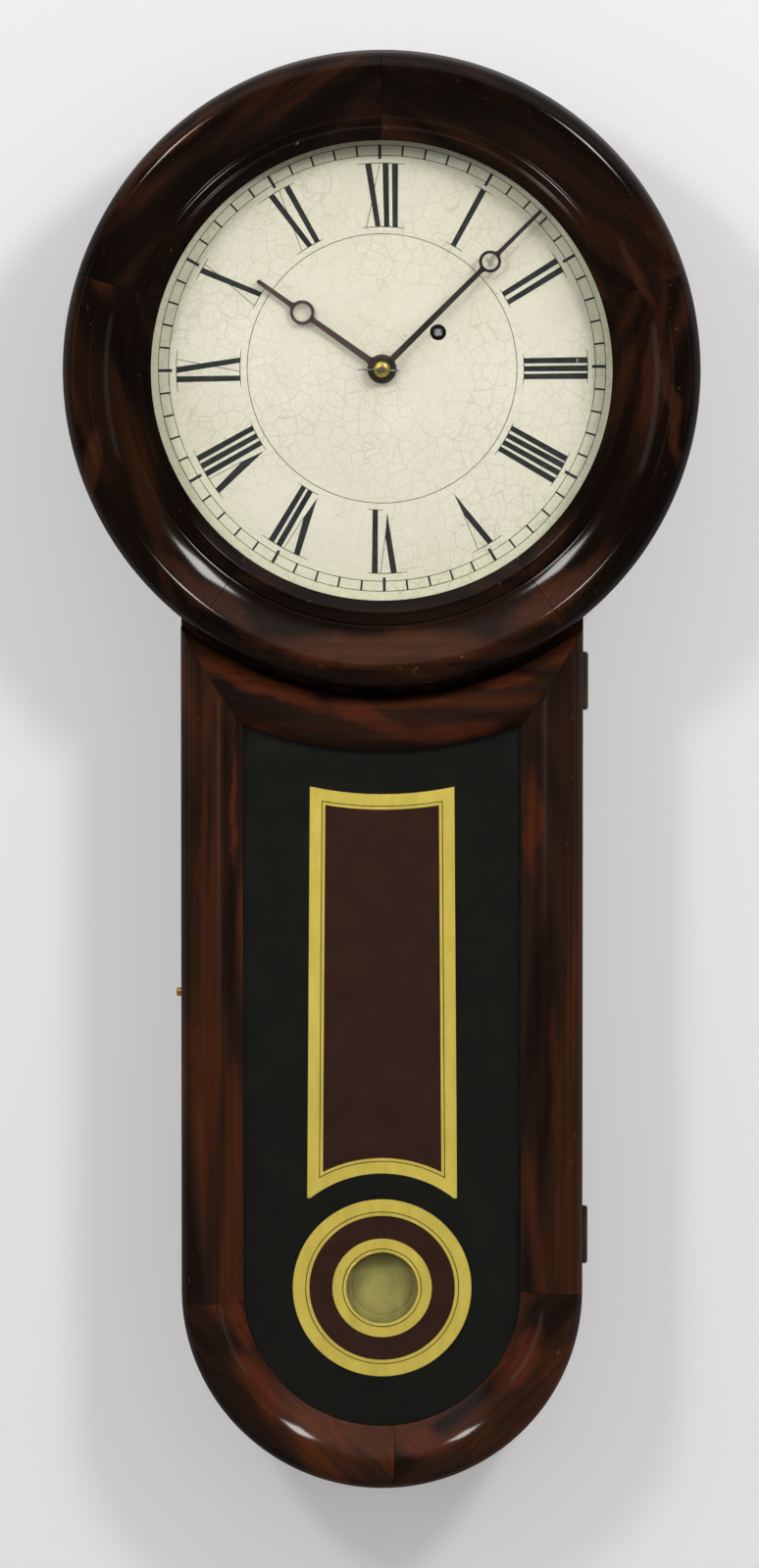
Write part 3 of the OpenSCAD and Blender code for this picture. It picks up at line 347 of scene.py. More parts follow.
def dialPaint(name):
    # cream oil paint on sheet metal, cloudy in patches of 90 mm, tinted yellow-green towards the rim, and
    # crazed
    material, tree, shader = newMaterial(name, Roughness=0.5, Specular_IOR_Level=0.3, Coat_Weight=0.08,
                                         Coat_Roughness=0.25)
    base = addNode(tree, "TexCoord").outputs["Object"]
    centred = addNode(tree, "Mapping", Vector=base, Location=(0, 0, clock["dialDrop"] * mm)).outputs[0]
    flat = addNode(tree, "VectorMath", {"operation": "MULTIPLY"}, i0=centred, i1=(1, 0, 1)).outputs[0]
    radius = addNode(tree, "VectorMath", {"operation": "LENGTH"}, i0=flat).outputs["Value"]
    cloud = addNode(tree, "TexNoise", Vector=base, Scale=11.0, Detail=4.0, Roughness=0.6)
    tone = addNode(tree, "ValToRGB", {"stops": [(0.3, "#C6C1B5"), (0.5, "#CDC8BF"), (0.7, "#D3CFC8")]},
                   Fac=cloud.outputs["Fac"]).outputs[0]
    # yellow-green tint that rises from 105 mm out to 126 mm from the centre
    rim = addNode(tree, "MapRange", Value=radius, i1=0.105, i2=0.126, i3=0.0, i4=0.55).outputs[0]
    rimTinted = addNode(tree, "Mix", {"data_type": "RGBA"}, i0=rim, i6=tone, i7=hexToLinear("#CECFB6")).outputs[2]
    # crazing: the edges of irregular cells 9 and 5 mm across, which fade in and out over 38 mm; the real hair
    # cracks are finer, and these are drawn as wide as they need to show
    warp = addNode(tree, "TexNoise", Vector=base, Scale=60.0, Detail=2.0)
    bent = addNode(tree, "VectorMath", {"operation": "MULTIPLY_ADD"}, i0=warp.outputs["Color"],
                   i1=(0.006, 0.006, 0.006), i2=base).outputs[0]
    cells = addNode(tree, "TexVoronoi", {"feature": "DISTANCE_TO_EDGE"}, Vector=bent, Scale=115.0)
    fine = addNode(tree, "TexVoronoi", {"feature": "DISTANCE_TO_EDGE"}, Vector=bent, Scale=210.0)
    crack = addNode(tree, "ValToRGB", {"stops": [(0.0, 1.0), (0.05, 0.0)]},
                    Fac=cells.outputs["Distance"]).outputs[0]
    fineCrack = addNode(tree, "ValToRGB", {"stops": [(0.0, 0.7), (0.05, 0.0)]},
                        Fac=fine.outputs["Distance"]).outputs[0]
    patches = addNode(tree, "TexNoise", Vector=base, Scale=26.0, Detail=3.0)
    strength = addNode(tree, "ValToRGB", {"stops": [(0.38, 0.35), (0.6, 1.0)]},
                       Fac=patches.outputs["Fac"]).outputs[0]
    both = addNode(tree, "Math", {"operation": "MAXIMUM"}, i0=crack, i1=fineCrack).outputs[0]
    shown = addNode(tree, "Math", {"operation": "MULTIPLY"}, i0=both, i1=strength).outputs[0]
    cracked = addNode(tree, "Mix", {"data_type": "RGBA"},
                      i0=addNode(tree, "Math", {"operation": "MULTIPLY"}, i0=shown, i1=0.5).outputs[0],
                      i6=rimTinted, i7=hexToLinear("#A19A80")).outputs[2]
    # fly specks, at most 2 mm across
    speck = addNode(tree, "TexNoise", Vector=base, Scale=420.0, Detail=1.0)
    speckMask = addNode(tree, "ValToRGB", {"stops": [(0.76, 0.0), (0.8, 0.6)]},
                        Fac=speck.outputs["Fac"]).outputs[0]
    colour = addNode(tree, "Mix", {"data_type": "RGBA"}, i0=speckMask, i6=cracked,
                     i7=hexToLinear("#8F8566")).outputs[2]
    join(tree, colour, shader, "Base Color")
    bump = addNode(tree, "Bump", {"invert": True}, Strength=0.22, Distance=0.00012, Height=shown)
    join(tree, bump.outputs[0], shader, "Normal")
    return material


def dialInk(name, dark="#15191F", worn="#2B2E2E"):
    # black numeral paint, rubbed a little grey over 5 mm, with small losses where the cream shows through
    material, tree, shader = newMaterial(name, Roughness=0.6, Specular_IOR_Level=0.2)
    base = addNode(tree, "TexCoord").outputs["Object"]
    rub = addNode(tree, "TexNoise", Vector=base, Scale=190.0, Detail=4.0, Roughness=0.7)
    tone = addNode(tree, "ValToRGB", {"stops": [(0.35, dark), (0.66, worn)]},
                   Fac=rub.outputs["Fac"]).outputs[0]
    loss = addNode(tree, "TexNoise", Vector=base, Scale=85.0, Detail=5.0, Roughness=0.75)
    lost = addNode(tree, "ValToRGB", {"stops": [(0.69, 0.0), (0.73, 0.9)]},
                   Fac=loss.outputs["Fac"]).outputs[0]
    colour = addNode(tree, "Mix", {"data_type": "RGBA"}, i0=lost, i6=tone,
                     i7=hexToLinear("#C4BFB2")).outputs[2]
    join(tree, colour, shader, "Base Color")
    return material


def heatColouredSteel(name, tones):
    # filed steel tempered blue and worn back to plum brown, satin, with a grain of 1 mm in its gloss
    material, tree, shader = newMaterial(name, Metallic=0.4, Roughness=0.38)
    base = addNode(tree, "TexCoord").outputs["Object"]
    cloud = addNode(tree, "TexNoise", Vector=base, Scale=45.0, Detail=4.0, Roughness=0.6)
    colour = addNode(tree, "ValToRGB", {"stops": [(0.3, tones[0]), (0.5, tones[1]), (0.7, tones[2])]},
                     Fac=cloud.outputs["Fac"]).outputs[0]
    join(tree, colour, shader, "Base Color")
    grain = addNode(tree, "TexNoise", Vector=base, Scale=900.0, Detail=3.0, Roughness=0.7)
    rough = addNode(tree, "MapRange", Value=grain.outputs["Fac"], i3=0.28, i4=0.52).outputs[0]
    join(tree, rough, shader, "Roughness")
    bump = addNode(tree, "Bump", Strength=0.08, Distance=0.0001, Height=grain.outputs["Fac"])
    join(tree, bump.outputs[0], shader, "Normal")
    return material


def japannedIron(name):
    # cast iron under black japan: glossy over the casting's 6 mm unevenness, with a few chips
    material, tree, shader = newMaterial(name, Roughness=0.33)
    base = addNode(tree, "TexCoord").outputs["Object"]
    cast = addNode(tree, "TexNoise", Vector=base, Scale=160.0, Detail=5.0, Roughness=0.6)
    chip = addNode(tree, "TexNoise", Vector=base, Scale=40.0, Detail=6.0, Roughness=0.75)
    colour = addNode(tree, "ValToRGB", {"stops": [(0.7, "#17171A"), (0.735, "#4C3B31")]},
                     Fac=chip.outputs["Fac"]).outputs[0]
    join(tree, colour, shader, "Base Color")
    bump = addNode(tree, "Bump", Strength=0.3, Distance=0.0005, Height=cast.outputs["Fac"])
    join(tree, bump.outputs[0], shader, "Normal")
    return material


def dullSolid(name, colours, roughness, patternScale, bumpStrength):
    # a solid without metal or gloss, such as putty, gut or waxed wood: two tones in a cloudy mix, fine relief
    material, tree, shader = newMaterial(name, Roughness=roughness)
    base = addNode(tree, "TexCoord").outputs["Object"]
    cloud = addNode(tree, "TexNoise", Vector=base, Scale=patternScale, Detail=5.0, Roughness=0.62)
    colour = addNode(tree, "ValToRGB", {"stops": [(0.32, colours[0]), (0.68, colours[1])]},
                     Fac=cloud.outputs["Fac"]).outputs[0]
    join(tree, colour, shader, "Base Color")
    bump = addNode(tree, "Bump", Strength=bumpStrength, Distance=0.0003, Height=cloud.outputs["Fac"])
    join(tree, bump.outputs[0], shader, "Normal")
    return material


# Swept wooden mouldings

def outlineNormals(section):
    # outward normals of a closed outline that runs clockwise or anticlockwise
    step = np.roll(section, -1, axis=0) - np.roll(section, 1, axis=0)
    normal = np.stack([step[:, 1], -step[:, 0]], axis=1) * np.sign(outlineArea(section))
    return normal / np.maximum(np.linalg.norm(normal, axis=1, keepdims=True), 1e-9)


def sweptPiece(section, place, steps, chamfer):
    # place(section, s) lays a section at s from 0 to 1; both ends get a small chamfer and a flat cap
    drawnIn = section - outlineNormals(section) * chamfer["depth"]
    edge = chamfer["length"]
    rows = [place(section, s) for s in np.linspace(edge, 1 - edge, steps + 1)]
    grid = np.stack([place(drawnIn, 0.0)] + rows + [place(drawnIn, 1.0)])
    points = grid.reshape(-1, 3)
    return points, facesOutward(points, barFaces(len(grid), len(section)))


def joinParts(parts):
    # one list of points and faces from several, plus the part number of every point
    points, faces, owner, start = [], [], [], 0
    for index, (p, f) in enumerate(parts):
        points.append(p)
        faces += [[v + start for v in face] for face in f]
        owner += [index] * len(p)
        start += len(p)
    return np.concatenate(points), faces, np.array(owner)


def paintAttributes(piece, grain, wear):
    # grain is in metres with its first axis along the grain; wear runs from 0 to 1
    layer = piece.data.attributes.new("grain", "FLOAT_VECTOR", "POINT")
    layer.data.foreach_set("vector", np.asarray(grain, np.float32).ravel())
    layer = piece.data.attributes.new("wear", "FLOAT", "POINT")
    layer.data.foreach_set("value", np.asarray(wear, np.float32).ravel())


# Bezel: five segments sawn from straight boards, turned as one ring

bezel = {
    "joints": (18, 90, 162, 234, 306),    # degrees anticlockwise from three o'clock
    "segment": 72.0,          # degrees that each segment spans
    "gap": 0.03,              # degrees left open at each joint
    "chamfer": {"depth": 0.12, "length": 0.0006},
    "steps": 84,
    "outer": 175.0,
    "front": 118.0,
    "back": 78.6,
    "edge": 90.0,             # depth from which the outer edge is scuffed
    "crest": 164.0,
    "side": 103.0,            # depth at which the rounded front starts
    "squareness": 2.5,        # of the outer shoulder; 2 is an ellipse
    "roll": 8.5,              # radius of the crest's inner side
    "rollTurn": 38.0,
    "coveSlope": (0.78, 0.0135),
    "valley": 141.0,
    "ridge": 133.2,
    "sight": 126.6,           # radius of the opening over the dial
    "lip": (103.0, 104.1),    # depth of the lip's back and front
    # the turned mouldings inside the cove, as (radius, depth): fillet, flat rise, bead and slope to the lip
    "mouldings": [(140.8, 106.47), (140.45, 106.52), (140.15, 106.72), (139.9, 107.02), (139.6, 107.3),
                  (139.2, 107.52), (138.6, 107.68), (137.4, 107.88), (136.0, 108.08), (134.9, 108.25),
                  (134.4, 108.42), (134.05, 108.75), (133.7, 109.05), (133.2, 109.17), (132.75, 109.05),
                  (132.4, 108.78), (132.0, 108.45), (130.6, 107.35), (129, 106.2), (127.6, 105.3),
                  (127.0, 104.95), (126.75, 104.6)],
    "rebate": [(134.5, 103), (134.5, 97), (138, 90), (158.6, 90), (158.6, 78.6)],
    "wear": {"crest": 3.6, "bead": 1.6, "rim": 0.7, "joint": 0.9},    # reach in mm, at the joints in degrees
}


def bezelSection():
    # shoulder: a superellipse from the side to the crest; roll: an arc; cove: a parabola down to the valley
    b = bezel
    t, bend = np.radians(np.linspace(0, 90, 33)), 2 / b["squareness"]
    shoulder = np.stack([b["crest"] + (b["outer"] - b["crest"]) * np.cos(t) ** bend,
                         b["side"] + (b["front"] - b["side"]) * np.sin(t) ** bend], axis=1)
    a = np.radians(np.linspace(0, b["rollTurn"], 13))[1:]
    roll = np.stack([b["crest"] - b["roll"] * np.sin(a), b["front"] - b["roll"] * (1 - np.cos(a))], axis=1)
    s = np.linspace(0, roll[-1, 0] - b["valley"], 25)[1:]
    fall, lift = b["coveSlope"]
    cove = np.stack([roll[-1, 0] - s, roll[-1, 1] - fall * s + lift * s ** 2], axis=1)
    lip = [(b["sight"], b["lip"][1]), (b["sight"], b["lip"][0])]
    return np.concatenate([[(b["outer"], b["back"]), (b["outer"], b["edge"])], shoulder, roll, cove,
                           b["mouldings"], lip, b["rebate"]])


def buildBezel():
    # each segment is the section turned about the dial's centre from one joint to the next
    section = bezelSection()
    parts = []
    for joint in bezel["joints"]:
        first, last = joint + bezel["gap"], joint + bezel["segment"] - bezel["gap"]

        def place(outline, s):
            a, radius = math.radians(first + (last - first) * s), outline[:, 0]
            return np.stack([radius * math.cos(a), -outline[:, 1], radius * math.sin(a)], axis=1)

        parts.append(sweptPiece(section, place, bezel["steps"], bezel["chamfer"]))
    points, faces, owner = joinParts(parts)
    piece = meshObject("bezelMoulding", points, faces, "bezel", woods["bezel"], ["bezel_ring"], sharpAngle=32)
    # the grain runs square to the radius at each segment's middle, and every segment is another piece of wood
    middle = np.radians(np.array(bezel["joints"]) + bezel["segment"] / 2)[owner]
    x, depth, z = points[:, 0], -points[:, 1], points[:, 2]
    grain = np.stack([-x * np.sin(middle) + z * np.cos(middle) + owner * 412.0,
                      x * np.cos(middle) + z * np.sin(middle) + owner * 37.0,
                      depth + owner * 53.0], axis=1) * mm
    # polish is rubbed thin on the crest, the bead, the outer rim and beside the joints
    reach = bezel["wear"]
    radius = np.hypot(x, z)
    crest = np.exp(-((radius - bezel["crest"]) / reach["crest"]) ** 2) * (depth > 110)
    bead = 0.7 * np.exp(-((radius - bezel["ridge"]) / reach["bead"]) ** 2) * (depth > 105)
    rim = 0.6 * (radius > bezel["outer"] - reach["rim"]) * (depth > 86)
    angle = np.degrees(np.arctan2(z, x))
    nearest = np.min(np.abs((angle[:, None] - np.array(bezel["joints"]) + 180) % 360 - 180), axis=1)
    seam = 0.9 * np.exp(-(nearest / reach["joint"]) ** 2)
    paintAttributes(piece, grain, np.clip(np.maximum.reduce([crest, bead, rim, seam]), 0, 1))


# Trunk door: two stiles mitred to a curved top rail, and a half-round foot sawn in two

door = {
    "rail": 34.0,             # width of the frame
    "topOuter": 180.5,        # radii of the curved top rail's edges about the dial centre
    "topInner": 211.0,
    "leftJoint": -7.5,        # height of the foot's upper joints above the window centre
    "rightJoint": -1.5,
    "footJoint": 7.0,         # joint at the bottom of the foot, to the right of the middle
    "crestHeight": 19.6,
    "innerRise": 6.6,         # height of the slope at the inner edge
    "round": 9.0,             # radius of the outer edge
    "rebate": 5.0,            # for the glass, both wide and deep
    "gap": 0.07,
    "chamfer": {"depth": 0.1, "length": 0.0006},
    "straightShare": 0.985,   # part of a stile's length that is straight
    "wear": {"at": 8.0, "reach": 4.0, "above": 17.0},
}


def railSection():
    # u inwards from the outer edge, v forwards from the closing plane: a quarter of a sine wave rises from
    # the inner edge to the crest, and a quarter circle rounds the outer edge
    w, top, deep, turn = door["rail"], door["crestHeight"], door["rebate"], door["round"]
    t = np.linspace(0, 1, 25)
    rise = door["innerRise"]
    slope = np.stack([w - (w - turn) * t, rise + (top - rise) * np.sin(np.radians(90 * t))], axis=1)
    return np.concatenate([[(0, 0.2), (w - deep, 0.2), (w - deep, deep), (w, deep)], slope,
                           arcPoints(turn, top - turn, turn, 90, 180, 16)[1:], [(0, deep)]])


def buildDoor():
    # one piece of five parts, each of them the section carried along its own edge lines
    section = railSection()
    w, half = door["rail"], clock["trunkHalf"]
    footZ = -clock["windowDrop"]
    back = clock["doorBack"]

    def mitre(u):
        # end of a stile: radius of the rail's edge line, across and up, for each u
        x = half - u
        radius = door["topOuter"] + (door["topInner"] - door["topOuter"]) * u / w
        return x, radius, -np.sqrt(radius ** 2 - x ** 2)

    def stile(side, jointZ):
        # straight part, then along the foot's curve down to the joint
        def place(outline, s):
            u, v = outline[:, 0], outline[:, 1]
            x, radius, top = mitre(u)
            straight = door["straightShare"]
            if s <= straight:
                top = top - door["gap"]
                z = top + (footZ - top) * (s / straight)
                return np.stack([side * x, -(back + v), z], axis=1)
            drop = (s - straight) / (1 - straight) * (jointZ + door["gap"])
            z = footZ + drop
            return np.stack([side * np.sqrt(x ** 2 - drop ** 2), -(back + v), np.full_like(u, z)], axis=1)
        return place

    def topRail(outline, s):
        # every edge line is an arc about the dial centre, from one mitre to the other
        u, v = outline[:, 0], outline[:, 1]
        x, radius, top = mitre(u)
        reach = np.arcsin(x / radius)
        a = -math.pi / 2 + (2 * s - 1) * reach
        return np.stack([radius * np.cos(a), -(back + v), radius * np.sin(a)], axis=1)

    def footPart(side):
        jointZ = door["leftJoint"] if side < 0 else door["rightJoint"]

        def place(outline, s):
            # angle from straight down, towards the side of the part
            u, v = outline[:, 0], outline[:, 1]
            radius = half - u
            low = np.arcsin(np.clip(side * (door["footJoint"] + side * door["gap"]) / radius, -1, 1))
            high = np.arccos(np.clip((-jointZ + door["gap"]) / radius, -1, 1))
            a = low + (high - low) * s
            return np.stack([side * radius * np.sin(a), -(back + v), footZ - radius * np.cos(a)], axis=1)
        return place

    # how each part is laid, in how many steps, which way its grain runs and where in the wood it was cut
    makers = [
        (stile(-1, door["leftJoint"]), 90, (0, 0, 1), 0.0),
        (stile(1, door["rightJoint"]), 90, (0, 0, 1), 1.9),
        (topRail, 72, (1, 0, 0), 4.1),
        (footPart(-1), 60, (0.707, 0, -0.707), 6.3),
        (footPart(1), 60, (0.707, 0, 0.707), 8.8),
    ]
    parts = [sweptPiece(section, place, steps, door["chamfer"]) for place, steps, along, cut in makers]
    points, faces, owner = joinParts(parts)
    piece = meshObject("trunkDoorMoulding", points, faces, "trunk_door", woods["door"], ["trunk_door_frame"],
                       sharpAngle=32)
    along = np.array([maker[2] for maker in makers], float)[owner]
    cut = np.array([maker[3] for maker in makers])[owner]
    across = np.stack([-along[:, 2], 0 * cut, along[:, 0]], axis=1)
    grain = np.stack([np.sum(points * along, axis=1) * mm + cut,
                      np.sum(points * across, axis=1) * mm + cut * 0.31,
                      -points[:, 1] * mm + cut * 0.17], axis=1)
    depth = -points[:, 1] - back
    # distance from the outer edge: of the curved rail, of the straight stiles or of the round foot
    outerEdge = np.where(owner == 2, np.hypot(points[:, 0], points[:, 2]) - door["topOuter"],
                         np.where(points[:, 2] > footZ, half - np.abs(points[:, 0]),
                                  half - np.hypot(points[:, 0], points[:, 2] - footZ)))
    wear = door["wear"]
    crest = 0.8 * np.exp(-((outerEdge - wear["at"]) / wear["reach"]) ** 2) * (depth > wear["above"])
    paintAttributes(piece, grain, np.clip(crest, 0, 1))


# Painted marks on the dial

dialMarks = {
    "face": 85.0,             # surface of the dial, in front of the wall
    "proud": 0.04,            # thickness of the ink
    "sunk": 0.02,             # how far its plates reach into the dial
    "layer": 0.01,            # the fine lines lie this much lower, so that crossing plates don't share a face
    "turn": -0.6,             # the dial is painted a little anticlockwise of upright
    "outerCircle": 123.0,
    "innerCircle": 117.4,
    "middleCircle": 74.2,
    "circleLine": 0.5,
    "minute": (5.8, 1.1),     # length and width of a minute mark, from the outer circle inwards
    "fiveMinutes": (7.6, 1.7),
    "heads": 113.1,           # the numerals' outer and inner ends
    "feet": 78.1,
    "stroke": (3.35, 2.95),   # width of a thick stroke at heads and feet
    "hairline": 0.45,
    "serif": 0.6,
    "fork": 92.5,             # radius at which a V's thin arm meets its thick one
}

# Strokes of each hour, in mm to the right of its mark at the heads and at the feet, as a sign painter spaces
# them. bars: upright strokes; cross: thick diagonal, then thin one; vee: thick arm, point, thin arm;
# serifs: from and to at the heads, then at the feet
hours = {
    1: {"bars": [(0.3, 0.8)], "serifs": (-5.3, 5.3, -3.9, 6.9)},
    2: {"bars": [(-2.3, -1.3), (3.2, 3.8)], "serifs": (-7.7, 8.6, -4.7, 7.1)},
    3: {"bars": [(-3.6, -3.5), (0.9, 0.9), (5.2, 5.2)], "serifs": (-9.1, 9.8, -7.5, 9.8)},
    4: {"bars": [(-6.4, -6.3), (-2.3, -1.8), (2.4, 2.5), (7.3, 6.7)], "serifs": (-11.1, 11.1, -9.8, 11.2)},
    5: {"vee": (-2.5, 1.1, 5.4), "serifs": (-10.5, 8.7, None, None)},
    6: {"vee": (-5.4, -2.0, 2.0), "bars": [(5.2, 4.5)], "serifs": (-12.6, 9.4, 0.3, 8.6)},
    7: {"vee": (-9.5, -4.0, -1.7), "bars": [(1.6, 1.2), (6.4, 5.4)], "serifs": (-15.9, 12.6, -3.9, 9.1)},
    8: {"vee": (-12.1, -6.2, -4.2), "bars": [(-0.9, -1.4), (4.0, 3.1), (8.7, 7.8)],
        "serifs": (-17.6, 14.0, -6.2, 11.6)},
    9: {"bars": [(-4.9, -4.6)], "cross": (0.2, 5.4, 6.2, -0.9), "serifs": (-12.3, 11.2, -9.5, 10.7)},
    10: {"cross": (-1.7, 2.7, 2.4, -4.3), "serifs": (-7.5, 5.8, -6.8, 6.5)},
    11: {"cross": (-3.9, 0.2, 1.2, -5.0), "bars": [(5.9, 4.9)], "serifs": (-13.0, 10.3, -8.5, 8.8)},
    12: {"cross": (-6.5, -1.4, -0.1, -7.7), "bars": [(3.1, 3.4), (8.3, 8.0)],
         "serifs": (-13.0, 13.7, -10.0, 13.5)},
}


def markPoints(clockAngle, across, radius):
    # places on the dial: clockAngle in degrees from twelve, across in mm to the right of that line; each lies
    # the root of radius squared less across squared along the line
    a = math.radians(clockAngle + dialMarks["turn"])
    across, radius = np.broadcast_arrays(across, radius)
    up = np.sqrt(radius ** 2 - across ** 2)
    x, z = up * math.sin(a) + across * math.cos(a), up * math.cos(a) - across * math.sin(a)
    return np.stack([x, z], axis=1)


def inkPlates(outlines, front, back):
    # thin plates from flat outlines of (x, z): a face and its edges, open behind
    parts = []
    for outline in outlines:
        o = outline if outlineArea(outline) > 0 else outline[::-1]
        n = len(o)
        points = np.concatenate([np.stack([o[:, 0], np.full(n, -d), o[:, 1]], axis=1) for d in (front, back)])
        faces = [list(range(n))] + [[k, k + n, (k + 1) % n + n, (k + 1) % n] for k in range(n)]
        parts.append((points, faces))
    return parts


def circleLine(radius, width, front, back):
    # a flat ring of oblong section
    low, high = radius - width / 2, radius + width / 2
    return turnedSolid([(low, back), (low, front), (high, front), (high, back)], 240)


def strokeOutline(clockAngle, outer, inner, widths, radii):
    # slanting stroke between two radii, with its own width at each
    across = (outer - widths[0] / 2, outer + widths[0] / 2, inner + widths[1] / 2, inner - widths[1] / 2)
    return markPoints(clockAngle, across, np.repeat(radii, 2))


def serifOutline(clockAngle, start, end, radius):
    # a bar along the arc whose half width follows a sine, thin at its ends and full in the middle
    across = np.linspace(start, end, 9)
    half = dialMarks["serif"] / 2 * (0.45 + 0.55 * np.sin(np.linspace(0.25, math.pi - 0.25, 9)))
    return markPoints(clockAngle, np.concatenate([across, across[::-1]]),
                      radius + np.concatenate([half, -half[::-1]]))


def buildDialMarks():
    # bold strokes and minute marks in one piece, hairlines, serifs and circles in another
    d = dialMarks
    front, back = d["face"] + d["proud"], d["face"] - d["sunk"]
    heads, feet, hairline = d["heads"], d["feet"], (d["hairline"], d["hairline"])
    bold, fine = [], []
    for k in range(60):
        length, width = d["minute"] if k % 5 else d["fiveMinutes"]
        ends = (d["outerCircle"] + 0.1, d["outerCircle"] - length)
        bold.append(strokeOutline(6 * k, 0, 0, (width, width), ends))
    for hour, marks in hours.items():
        angle = 30 * hour
        for outer, inner in marks.get("bars", []):
            bold.append(strokeOutline(angle, outer, inner, d["stroke"], (heads, feet)))
        if "cross" in marks:
            thickOut, thickIn, thinOut, thinIn = marks["cross"]
            bold.append(strokeOutline(angle, thickOut, thickIn, d["stroke"], (heads, feet)))
            fine.append(strokeOutline(angle, thinOut, thinIn, hairline, (heads, feet)))
        if "vee" in marks:
            thick, point, thin = marks["vee"]
            half, fork = d["stroke"][0] / 2, d["fork"]
            bold.append(markPoints(angle, (thick - half, thick + half, point + 1.25, point),
                                   (heads, heads, fork, feet + 1.2)))
            fine.append(strokeOutline(angle, thin, point + 1.2, hairline, (heads, fork)))
        for start, end, radius in (marks["serifs"][:2] + (heads,), marks["serifs"][2:] + (feet,)):
            if start is not None:
                fine.append(serifOutline(angle, start, end, radius))
    points, faces, owner = joinParts(inkPlates(bold, front, back))
    meshObject("dialNumerals", points, faces, "case", dialBlack, smooth=False)
    front -= d["layer"]
    circles = [circleLine(d[name], d["circleLine"], front, back)
               for name in ("outerCircle", "innerCircle", "middleCircle")]
    points, faces, owner = joinParts(inkPlates(fine, front, back) + circles)
    meshObject("dialFineLines", points, faces, "case", dialFaded, smooth=False)


# Hands: angle in degrees from twelve, ring as outer and inner radius, arm and tip as half widths from their
# start to their end

hands = {
    "hour": {"angle": 305.3, "back": 88.0, "front": 89.0, "hub": 8.1, "bore": 4.0, "ringAt": 53.7,
             "ring": (6.8, 4.95), "length": 84.0, "arm": (1.85, 1.5), "tip": (1.4, 1.2), "chamfer": 0.12},
    "minute": {"angle": 45.0, "back": 91.5, "front": 92.4, "hub": 6.9, "bore": 1.5, "ringAt": 84.0,
               "ring": (6.1, 4.4), "length": 124.0, "arm": (1.8, 1.4), "tip": (1.2, 1.0), "chamfer": 0.12},
}


def turnedRing(outer, inner, back, front, edge, centre=(0, 0)):
    # flat ring with its front edges broken in two flats
    mid = edge * 0.35
    profile = [(inner, back), (inner, front - edge), (inner + mid, front - mid), (inner + edge, front),
               (outer - edge, front), (outer - mid, front - mid), (outer, front - edge), (outer, back)]
    return turnedSolid(profile, 96, centre)


def armSolid(stations, h):
    # arm of a hand: a bar with two chamfered edges, laid at stations of (distance from the centre, half
    # width); x is distance times sin a plus u times cos a, z is distance times cos a less u times sin a
    a, c = math.radians(h["angle"]), h["chamfer"]
    distance, half = np.array(stations).T[:, :, None]
    u = half * np.array([-1, 1, 1, 1, -1, -1]) + np.array([0, 0, 0, -c, c, 0])
    depth = np.array([h["back"], h["back"], h["front"] - c, h["front"], h["front"], h["front"] - c])
    grid = np.stack([distance * math.sin(a) + u * math.cos(a), 0 * u - depth,
                     distance * math.cos(a) - u * math.sin(a)], axis=2)
    points = grid.reshape(-1, 3)
    return points, facesOutward(points, barFaces(len(stations), 6))


def buildHand(name, h, body, material, replaced):
    # hub, ring, and the two arms between them and the tip; an arm spreads a little where it meets a ring
    a = math.radians(h["angle"])
    centre = (h["ringAt"] * math.sin(a), h["ringAt"] * math.cos(a))
    near, far = h["ringAt"] - h["ring"][0], h["ringAt"] + h["ring"][0]
    hub, length, (wide, slim), (thick, thin) = h["hub"], h["length"], h["arm"], h["tip"]
    inner = [(hub - 1.0, wide + 0.7), (hub + 0.4, wide + 0.25), (hub + 1.6, wide), (near - 1.5, slim),
             (near - 0.5, slim + 0.2), (near + 0.5, slim + 0.75)]
    outer = [(far - 0.5, thick + 0.75), (far + 0.5, thick + 0.25), (far + 1.6, thick), (length - 1.0, thin),
             (length - 0.35, thin * 0.85), (length, thin * 0.5)]
    parts = [turnedRing(hub, h["bore"], h["back"], h["front"], h["chamfer"]),
             turnedRing(h["ring"][0], h["ring"][1], h["back"], h["front"], h["chamfer"], centre),
             armSolid(inner, h), armSolid(outer, h)]
    points, faces, owner = joinParts(parts)
    meshObject(name, points, faces, body, material, replaced, sharpAngle=28)


collet = {"bore": 1.5, "radius": 4.5, "back": 92.4, "rim": 93.0, "front": 95.2}


def buildCollet():
    # a flat disc under a dome that is a quarter of an ellipse
    c = collet
    t = np.radians(np.linspace(0, 90, 19))
    dome = np.stack([c["bore"] + (c["radius"] - c["bore"]) * np.cos(t),
                     c["rim"] + (c["front"] - c["rim"]) * np.sin(t)], axis=1)
    disc = [(c["bore"], c["back"]), (c["radius"] - 0.1, c["back"]), (c["radius"], c["back"] + 0.1)]
    points, faces = turnedSolid(np.concatenate([disc, dome]), 72)
    meshObject("handCollet", points, faces, "minute_arbor", brassDome, ["hand_collet"], sharpAngle=40)


# the pin runs from left to right, falls a little and is bowed upwards; arborAt is the share of its length
# before the arbor
pin = {"start": -13.6, "length": 23.5, "height": 0.4, "fall": 0.62, "bow": 0.45, "depth": 96.0,
       "arborAt": 0.58, "radius": (0.35, 0.5), "sides": 16}


def tube(path, radii, sides):
    # round bar: at each point of the path a circle in the plane square to the path
    along = np.gradient(path, axis=0)
    along /= np.linalg.norm(along, axis=1, keepdims=True)
    first = np.cross(along, (0, 1, 0.001))
    first /= np.linalg.norm(first, axis=1, keepdims=True)
    second = np.cross(along, first)
    a = np.linspace(0, 2 * math.pi, sides, endpoint=False)
    ring = path[:, None] + radii[:, None, None] * (np.cos(a)[None, :, None] * first[:, None] +
                                                   np.sin(a)[None, :, None] * second[:, None])
    points = ring.reshape(-1, 3)
    return points, facesOutward(points, barFaces(len(path), sides))


